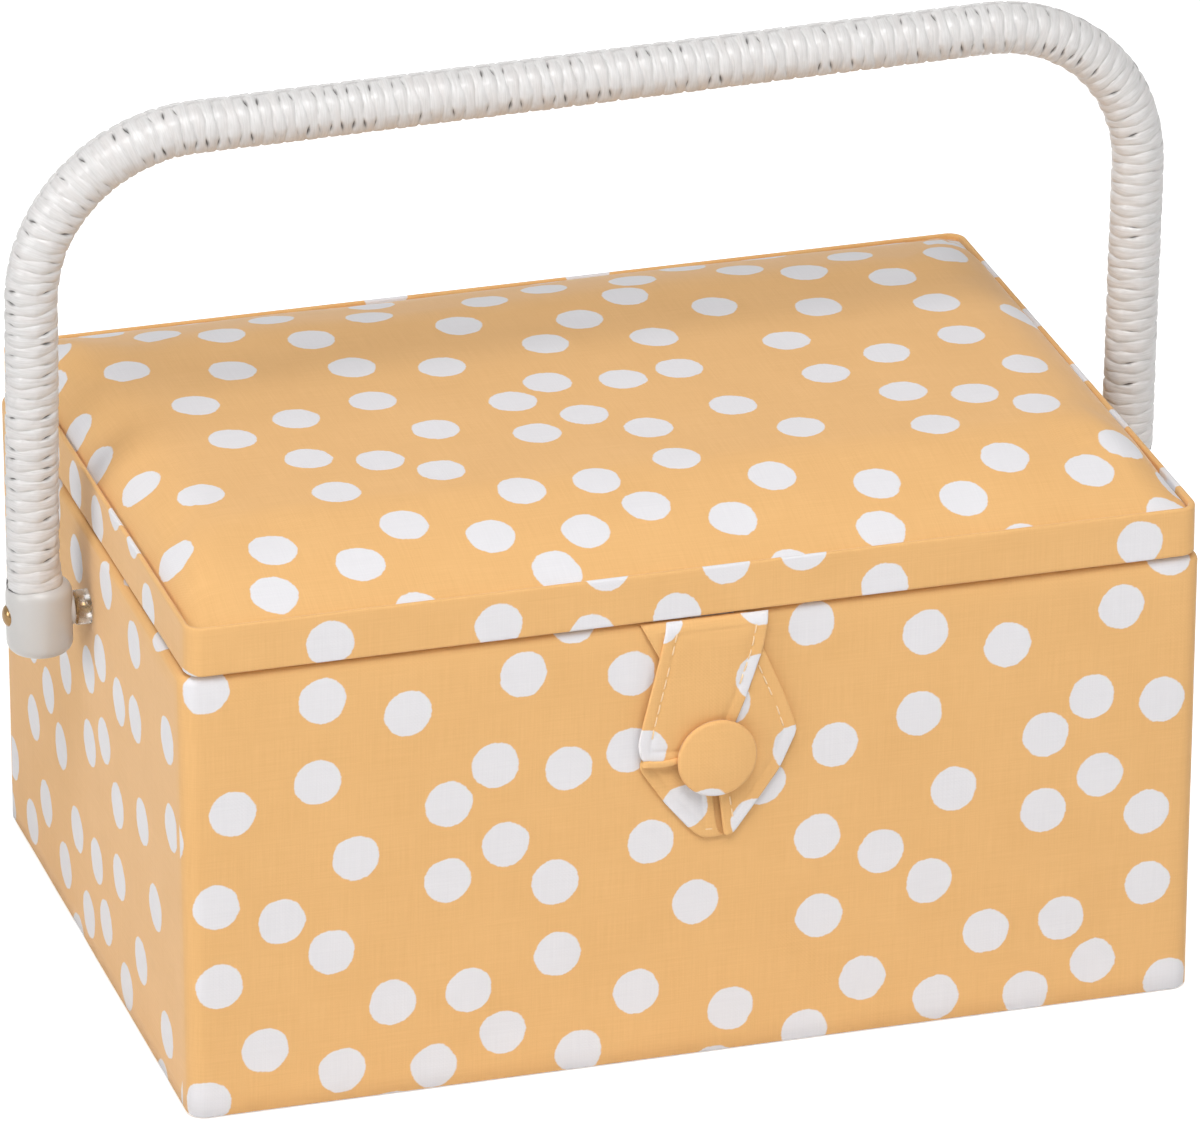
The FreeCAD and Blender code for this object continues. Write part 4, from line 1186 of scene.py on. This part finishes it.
def button():
    """A cap of cloth over a shallow metal dome, on a shank that is spread out behind the wall."""
    back = LOOP_BACK - 2 * LAYER - 0.35 * MM
    deep = back - button_low.y - BUTTON_THIN
    middle = (BUTTON_X + BUTTON_ACROSS, BUTTON_Z - BUTTON_DOWN)
    rim, crown_rise = 1.0 * MM, 0.75 * MM
    cap = [(0.0, 0.25 * MM), (BUTTON_RADIUS - 2.4 * MM, 0.1 * MM), (BUTTON_RADIUS - rim, 0.15 * MM)]
    cap += arc((BUTTON_RADIUS - rim, 0.15 * MM + rim), rim, -70, -45, 1)
    cap += arc((BUTTON_RADIUS - rim, 0.15 * MM + rim), rim, -20, 0, 1)
    cap += arc((BUTTON_RADIUS - rim, deep - crown_rise - rim), rim, 0, 75, 5)
    for share in (0.86, 0.74, 0.6, 0.46, 0.32, 0.16, 0.0):
        cap.append((BUTTON_RADIUS * share, deep - crown_rise * (share / 0.875) ** 2))
    made = turned("button_cloth", cap, (middle[0], back, middle[1]), (0, -1, 0), 72)
    layer = made.data.uv_layers["cloth"]
    for polygon in made.data.polygons:
        for index in polygon.loop_indices:
            place = made.data.vertices[made.data.loops[index].vertex_index].co
            layer.data[index].uv = (place.x + 800 * MM, place.z)
    paint(made, loop_cotton)
    set_out(made, "base", "printed_cotton", "covered_button")
    inner = -lining_high.y + WALL_LINING
    shank = [(0.0, -0.3 * MM), (1.8 * MM, -0.3 * MM), (1.8 * MM, back - inner), (4.6 * MM, back - inner),
             (5.0 * MM, back - inner - 0.4 * MM), (4.6 * MM, back - inner - MM), (0.0, back - inner - MM)]
    metal = turned("button_shank", shank[::-1], (middle[0], back, middle[1]), (0, -1, 0), 32)
    paint(metal, pressed_metal)
    set_out(metal, "base", "hinge_metal")


# Handle ends

spacers_low, spacers_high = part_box("spacers")
PIVOT_Z = (spacers_low.z + spacers_high.z) / 2
SPACER_RADIUS = (spacers_high.z - spacers_low.z) / 2
SPACER_END = spacers_high.x
FERRULE_RADIUS = ferrule_high.y
FERRULE_X = ferrule_high.x - FERRULE_RADIUS
BOSS_RADIUS = 4.2 * MM
BOSS_FACE = FERRULE_X - FERRULE_RADIUS - 0.2 * MM
RIVET_RADIUS = 1.8 * MM
RIVET_BORE = RIVET_RADIUS + 0.1 * MM
HEAD_RADIUS = 2.9 * MM
TAIL_RADIUS = 4.0 * MM
SOFT_EDGE = 3.0 * MM
SHOULDER_ROUND = 3.2 * MM
FERRULE_HANG = 1.3 * MM


def ferrule(side):
    """A round end cap with softened edges, a boss towards the box and a socket for the wound rod."""
    tall = ferrule_high.z - ferrule_low.z + FERRULE_HANG
    mouth = WINDING_RADIUS - 1.7 * MM
    rim = FERRULE_RADIUS - SOFT_EDGE
    outline = [(0.0, 0.0), (rim * 0.5, 0.0)] + arc((rim, SOFT_EDGE), SOFT_EDGE, 270, 360, 5)
    outline += arc((FERRULE_RADIUS - SHOULDER_ROUND, tall - SHOULDER_ROUND), SHOULDER_ROUND, 0, 90, 6)
    outline += [(mouth, tall), (mouth - 0.2 * MM, tall - 0.5 * MM), (mouth - 0.3 * MM, tall - 1.5 * MM),
                (0.0, tall - 1.5 * MM)]
    foot = (side * FERRULE_X, 0, ferrule_low.z - FERRULE_HANG)
    cap = turned("ferrule_cap", outline, foot, (0, 0, 1), 72)
    reach = FERRULE_X - BOSS_FACE
    soft = 0.5 * MM
    boss = [(0.0, 0.0), (BOSS_RADIUS, 0.0)] + arc((BOSS_RADIUS - soft, reach - soft), soft, 0, 90, 3)
    boss += [(RIVET_BORE, reach), (RIVET_BORE, reach - 0.4 * MM), (0.0, reach - 0.4 * MM)]
    stub = turned("ferrule_boss", boss, (side * FERRULE_X, 0, PIVOT_Z), (-side, 0, 0), 48)
    return [cap, stub]


def spacer(side):
    """A clear ring between the box and the ferrule."""
    start, end = HALF_X, SPACER_END
    soft = 0.4 * MM
    outline = [(RIVET_BORE, start), (SPACER_RADIUS - soft, start), (SPACER_RADIUS, start + soft),
               (SPACER_RADIUS, end - soft), (SPACER_RADIUS - soft, end), (RIVET_BORE, end)]
    around = 48
    points = []
    for radius, travel in outline:
        for n in range(around):
            angle = 2 * math.pi * n / around
            up = PIVOT_Z + radius * math.sin(angle)
            points.append(Vector((side * travel, radius * math.cos(angle), up)))
    faces = tube_faces(len(outline), around, ends=False)
    return outward_normals(mesh_object("spacer_ring", points, faces))


def rivet(side):
    """A dome-headed rivet right through the ferrule, the spacer and the wall."""
    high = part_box("pivot_rivets")[1].x
    head = high - 2.0 * MM
    tail = lining_high.x - WALL_LINING
    outline = [(0.0, tail - 1.2 * MM), (TAIL_RADIUS - 0.4 * MM, tail - 1.2 * MM),
               (TAIL_RADIUS, tail - 0.8 * MM), (TAIL_RADIUS, tail - 0.1 * MM),
               (RIVET_RADIUS, tail - 0.1 * MM), (RIVET_RADIUS, head), (HEAD_RADIUS - 0.2 * MM, head)]
    for degrees in range(0, 105, 15):
        angle = math.radians(degrees)
        outline.append((HEAD_RADIUS * math.cos(angle), head + 0.3 * MM + 1.7 * MM * math.sin(angle)))
    outline[-1] = (0.0, high)
    return turned("rivet_body", outline, (0, 0, PIVOT_Z), (side, 0, 0), 40)


def handle_ends():
    caps = ferrule(-1) + ferrule(1)
    made = paint(join("ferrule_caps", caps), milky_plastic)
    set_out(made, "handle", "ferrule_plastic", "ferrules")
    made = paint(join("clear_spacers", [spacer(-1), spacer(1)]), clear)
    set_out(made, "base", "clear_plastic", "spacers")
    made = paint(join("brass_rivets", [rivet(-1), rivet(1)]), brass)
    set_out(made, "base", "rivet_brass", "pivot_rivets")


# Inside of the base

WALL_LINING = 1.4 * MM
LINING_CORNER = 2.4 * MM


def inner_lining():
    """Lining cloth with a thin wadding, glued to the walls from the floor to below the hem."""
    low, high = lining_low.z, lining_high.z
    outline = [(0.0, low), (0.0, high - 0.6 * MM)]
    outline += arc((0.7 * MM, high - 0.7 * MM), 0.7 * MM, 180, 0, 6)
    outline += [(WALL_LINING, height) for height in steps(high - 1.4 * MM, low, 6 * MM)]
    made = ring("wall_cloth", lining_high.x, lining_high.y, LINING_CORNER, outline, side_print)
    for vertex in made.data.vertices:
        at = vertex.co
        deep = min(lining_high.x - abs(at.x), lining_high.y - abs(at.y))
        if deep > WALL_LINING * 0.9:
            inward = Vector((0, -math.copysign(1, at.y), 0))
            if lining_high.x - abs(at.x) < lining_high.y - abs(at.y):
                inward = Vector((-math.copysign(1, at.x), 0, 0))
            vertex.co += inward * (noise.noise(at * 30) * 0.25 - 0.15) * MM
    outward_normals(made)
    paint(made, lining_cotton)
    set_out(made, "base", "lining_cloth", "wall_lining")


def upside_down(box):
    """The corners of a box for a pad whose face looks down."""
    low, high = box
    return Vector((low.x, low.y, high.z)), Vector((high.x, high.y, low.z))


def pillow(name, box, radius, profile, hollow, body, slot, node_name, material, spacing=3.0 * MM):
    """A closed pad between two corners. profile gives the share of the thickness at a distance from the edge,
    and hollow how much a spot on its face sinks in."""
    low, high = box
    half_x, half_y = (high.x - low.x) / 2, (high.y - low.y) / 2
    middle = Vector(((low.x + high.x) / 2, (low.y + high.y) / 2))
    fine = (0.0, 0.35 * MM, 0.9 * MM, 1.7 * MM)

    def lines(half):
        inner = steps(-half + 3.2 * MM, half - 3.2 * MM, spacing)
        return [-half + f for f in fine] + inner + [half - f for f in reversed(fine)]

    xs, ys = lines(half_x), lines(half_y)
    points = []
    for y in ys:
        for x in xs:
            px, py, inward = rounded_spot(x, y, half_x, half_y, radius)
            px, py = px + middle.x, py + middle.y
            height = low.z + (high.z - low.z) * profile(inward) * (1 - hollow(px, py, inward))
            points.append(Vector((px, py, height)))
    faces = pad_faces(points, len(xs), len(ys), low.z)
    made = mesh_object(name, points, faces, at_corners(faces, seen_from_above(points)))
    outward_normals(made)
    paint(made, material)
    set_out(made, body, slot, node_name)


def soft_edge(length):
    return lambda inward: math.sqrt(max(0.0, 1 - (1 - min(inward / length, 1.0)) ** 2)) * 0.94 + 0.06


def quilted(pitch, depth):
    """Channels sewn both ways across, as squares standing on a corner."""
    def hollow(x, y, inward):
        first = abs(((x + y) / pitch) % 1.0 - 0.5) * 2
        second = abs(((x - y) / pitch) % 1.0 - 0.5) * 2
        nearest = min(1 - first, 1 - second)
        return depth * math.exp(-(nearest / QUILT_LINE) ** 2)
    return hollow


def puckered(depth):
    """Small gathers that run in from the sewn edge."""
    def hollow(x, y, inward):
        fade = math.exp(-inward / (6 * MM))
        return depth * fade * (0.5 + 0.5 * math.sin((x - y) * 900) * noise.noise(Vector((x, y, 0)) * 60))
    return hollow


def soft_pads():
    pillow("floor_cushion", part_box("floor_pad"), 2.0 * MM, soft_edge(2.4 * MM), quilted(30 * MM, 0.45),
           "base", "lining_cloth", "floor_pad", lining_cotton)
    pillow("pincushion_form", upside_down(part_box("pincushion")), 5.0 * MM, soft_edge(14 * MM), puckered(0.12),
           "lid", "pincushion_cloth", "pincushion", cushion_cotton, 2.0 * MM)
    pillow("pocket_form", upside_down(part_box("lid_pocket")), 4.0 * MM, soft_edge(6 * MM), pleated,
           "lid", "lining_cloth", "lid_pocket", lining_cotton, 2.0 * MM)


pocket_low, pocket_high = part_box("lid_pocket")
PLEAT_DEPTH = 0.34
PLEAT_PITCH = 7.5 * MM
GATHER_PITCH = 3.4 * MM
QUILT_LINE = 0.16


def pleated(x, y, inward):
    """Folds that open out from the elastic mouth of the pocket."""
    share = (y - pocket_low.y) / (pocket_high.y - pocket_low.y)
    wander = noise.noise(Vector((x * 12, y * 12, 3.0)))
    return PLEAT_DEPTH * (1 - share) * (0.5 + 0.5 * math.cos(x * 2 * math.pi / PLEAT_PITCH + 2 * wander))


def gathered_elastic():
    """A ruched casing with the elastic inside."""
    low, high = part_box("pocket_elastic")
    points = []
    lengthways = steps(low.x, high.x, 1.0 * MM)
    around = 14
    for x in lengthways:
        gather = 0.5 + 0.5 * math.cos((x - low.x) * 2 * math.pi / GATHER_PITCH)
        for n in range(around):
            angle = 2 * math.pi * n / around
            wide = (high.y - low.y) / 2 * (0.9 + 0.1 * gather)
            thick = (high.z - low.z) / 2 * (0.72 + 0.28 * gather)
            points.append(Vector((x, (low.y + high.y) / 2 + wide * math.cos(angle),
                                  (low.z + high.z) / 2 + thick * math.sin(angle))))
    faces = tube_faces(len(lengthways), around)
    spots = [(point.x * 2.2, point.y) for point in points]
    made = outward_normals(mesh_object("elastic_casing", points, faces, at_corners(faces, spots)))
    paint(made, lining_cotton)
    set_out(made, "lid", "lining_cloth", "pocket_elastic")


def lid_inside():
    """Lining cloth under the lid's board, turned down over the inside of the strips."""
    top, ceiling = lid_lining_high.z, LID_CEILING
    half_x, half_y = lid_lining_high.x, lid_lining_high.y
    skirt = band_low.z + 1.0 * MM
    cloth = 0.6 * MM
    rows = [(0.0, top), (0.0, skirt), (cloth / 2, skirt - 0.3 * MM), (cloth, skirt),
            (cloth, ceiling + 0.6 * MM), (cloth + 0.5 * MM, ceiling)]
    points, faces = rounded_box(rows, half_x, half_y, 3.0 * MM, 1.0 * MM)
    spots = [(point.x + point.z, point.y + point.z) for point in points]
    made = mesh_object("lid_inner_cloth", points, faces, at_corners(faces, spots), smooth=False)
    paint(outward_normals(made), lining_cotton)
    set_out(made, "lid", "lining_cloth", "lid_lining")


def underside():
    """The cloth under the base, its edges turned in."""
    low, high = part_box("bottom_cover")
    soft = min(0.3 * MM, (high.z - low.z) / 2)
    rows = [(2.0 * MM, high.z), (soft, high.z), (0.0, (low.z + high.z) / 2), (soft, low.z), (3.0 * MM, low.z),
            (3.4 * MM, low.z + 0.12 * MM), (3.8 * MM, low.z)]
    points, faces = rounded_box(rows, high.x, high.y, 3.0 * MM, 0.5 * MM)
    places = at_corners(faces, seen_from_above(points))
    made = outward_normals(mesh_object("underside_cloth", points, faces, places, smooth=False))
    paint(made, plain_cotton)
    set_out(made, "base", "bottom_cloth", "bottom_cover")


def anchor_strip():
    """The loop's glued-down end under the lid."""
    low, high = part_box("loop_anchor")
    half_x, half_y = (high.x - low.x) / 2, (high.y - low.y) / 2
    middle = Vector(((low.x + high.x) / 2, (low.y + high.y) / 2, 0))
    soft = (high.z - low.z) / 2
    rows = [(soft, high.z), (0.0, (low.z + high.z) / 2), (soft, low.z), (2 * soft, low.z)]
    points, faces = rounded_box(rows, half_x, half_y, 0.8 * MM, 0.2 * MM, middle)
    places = at_corners(faces, seen_from_above(points))
    made = outward_normals(mesh_object("loop_end", points, faces, places))
    paint(made, plain_cotton)
    return set_out(made, "lid", "bottom_cloth", "loop_anchor")


HINGE_X = 75 * MM
NAIL_APART = 8.0 * MM
BASE_NAIL_UP = 4.0 * MM
LID_NAIL_DOWN = 3.6 * MM
LEAF_FACE = 0.85 * MM


def hinge_nails():
    """Small domed nails that hold the hinge leaves."""
    heads = {"base": [], "lid": []}
    heights = {"base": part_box("hinge_base_leaves")[0].z + BASE_NAIL_UP,
               "lid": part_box("hinge_lid_leaves")[1].z - LID_NAIL_DOWN}
    outline = [(0.0, -0.6 * MM), (0.7 * MM, -0.6 * MM), (0.7 * MM, 0.0), (1.6 * MM, 0.0),
               (1.5 * MM, 0.3 * MM), (1.1 * MM, 0.6 * MM), (0.5 * MM, 0.78 * MM), (0.0, 0.82 * MM)]
    for hinge_x in (-HINGE_X, HINGE_X):
        for body in heads:
            for shift in (-NAIL_APART, NAIL_APART):
                place = (hinge_x + shift, HALF_Y + LEAF_FACE, heights[body])
                heads[body].append(turned("nail", outline, place, (0, 1, 0), 20))
    for body, found in heads.items():
        made = paint(join(f"hinge_nails_{body}", found), brass)
        set_out(made, body, "hinge_metal")


# Camera, light and floor

VIEW_TURN = math.radians(-16.66)
VIEW_HEIGHT = math.radians(24.08)
CAMERA_PLACE = Vector((-0.78015, -2.61886, 1.31617))
CAMERA_LENS = 350.94
SKY_LIGHT = 0.32
LIT_SPOT = Vector((0, 0, 0.08))


def aimed(made, place, way):
    """Puts a camera or a lamp in its place and points it a way."""
    made.location = place
    made.rotation_mode = "QUATERNION"
    made.rotation_quaternion = way.to_track_quat("-Z", "Y")


def camera():
    data = bpy.data.cameras.new("camera")
    made = new_object("camera", data)
    back = Vector((math.sin(VIEW_TURN) * math.cos(VIEW_HEIGHT), -math.cos(VIEW_TURN) * math.cos(VIEW_HEIGHT),
                   math.sin(VIEW_HEIGHT)))
    aimed(made, CAMERA_PLACE, -back)
    data.lens = CAMERA_LENS
    data.sensor_width = 36.0
    data.clip_start = 0.1
    data.clip_end = 50.0
    bpy.context.scene.camera = made


def seen_directly(tree):
    """1 for what the camera sees straight, in a reflection or through glass, and 0 for light on a surface."""
    path = node(tree, "ShaderNodeLightPath").outputs
    either = sum_of(tree, "MAXIMUM", path["Is Camera Ray"], path["Is Glossy Ray"])
    return sum_of(tree, "MAXIMUM", either, path["Is Transmission Ray"])


def studio():
    world = bpy.data.worlds.new("studio")
    bpy.context.scene.world = world
    world.use_nodes = True
    tree = world.node_tree
    backdrop = tree.nodes["Background"]
    backdrop.inputs["Color"].default_value = (1.0, 1.0, 1.0, 1.0)
    strength = stretched(tree, seen_directly(tree), 0, 1, SKY_LIGHT, 1.0)
    tree.links.new(strength, backdrop.inputs["Strength"])
    lamps = [("softbox_above", (-0.25, -0.9, 1.6), 0.9, 19.5), ("softbox_left", (-1.9, -0.5, 0.8), 1.0, 13.5),
             ("softbox_front", (0.9, -2.0, 1.4), 1.3, 9.1), ("softbox_back", (0.6, 2.2, 1.3), 1.3, 5.0)]
    for name, place, size, power in lamps:
        data = bpy.data.lights.new(name, "AREA")
        data.size = size
        data.energy = power
        aimed(new_object(name, data), place, LIT_SPOT - Vector(place))
    corners = [(-4, -4, -0.0001), (4, -4, -0.0001), (4, 4, -0.0001), (-4, 4, -0.0001)]
    ground = mesh_object("floor", corners, [(0, 1, 2, 3)], smooth=False)
    material, tree, surface = new_material("pale floor")
    surface["Base Color"].default_value = (0.86, 0.86, 0.86, 1)
    surface["Roughness"].default_value = 0.9
    surface["Specular IOR Level"].default_value = 0.1
    surface["Emission Color"].default_value = (1, 1, 1, 1)
    tree.links.new(sum_of(tree, "MULTIPLY", seen_directly(tree), 0.55), surface["Emission Strength"])
    paint(ground, material)


camera()
studio()
base_cover()
lid_band_cloth()
padded_top()
handle_winding()
handle_rod()
closing_loop()
button()
handle_ends()
inner_lining()
soft_pads()
gathered_elastic()
lid_inside()
underside()
hinge_nails()

bpy.context.scene.view_settings.view_transform = "Standard"
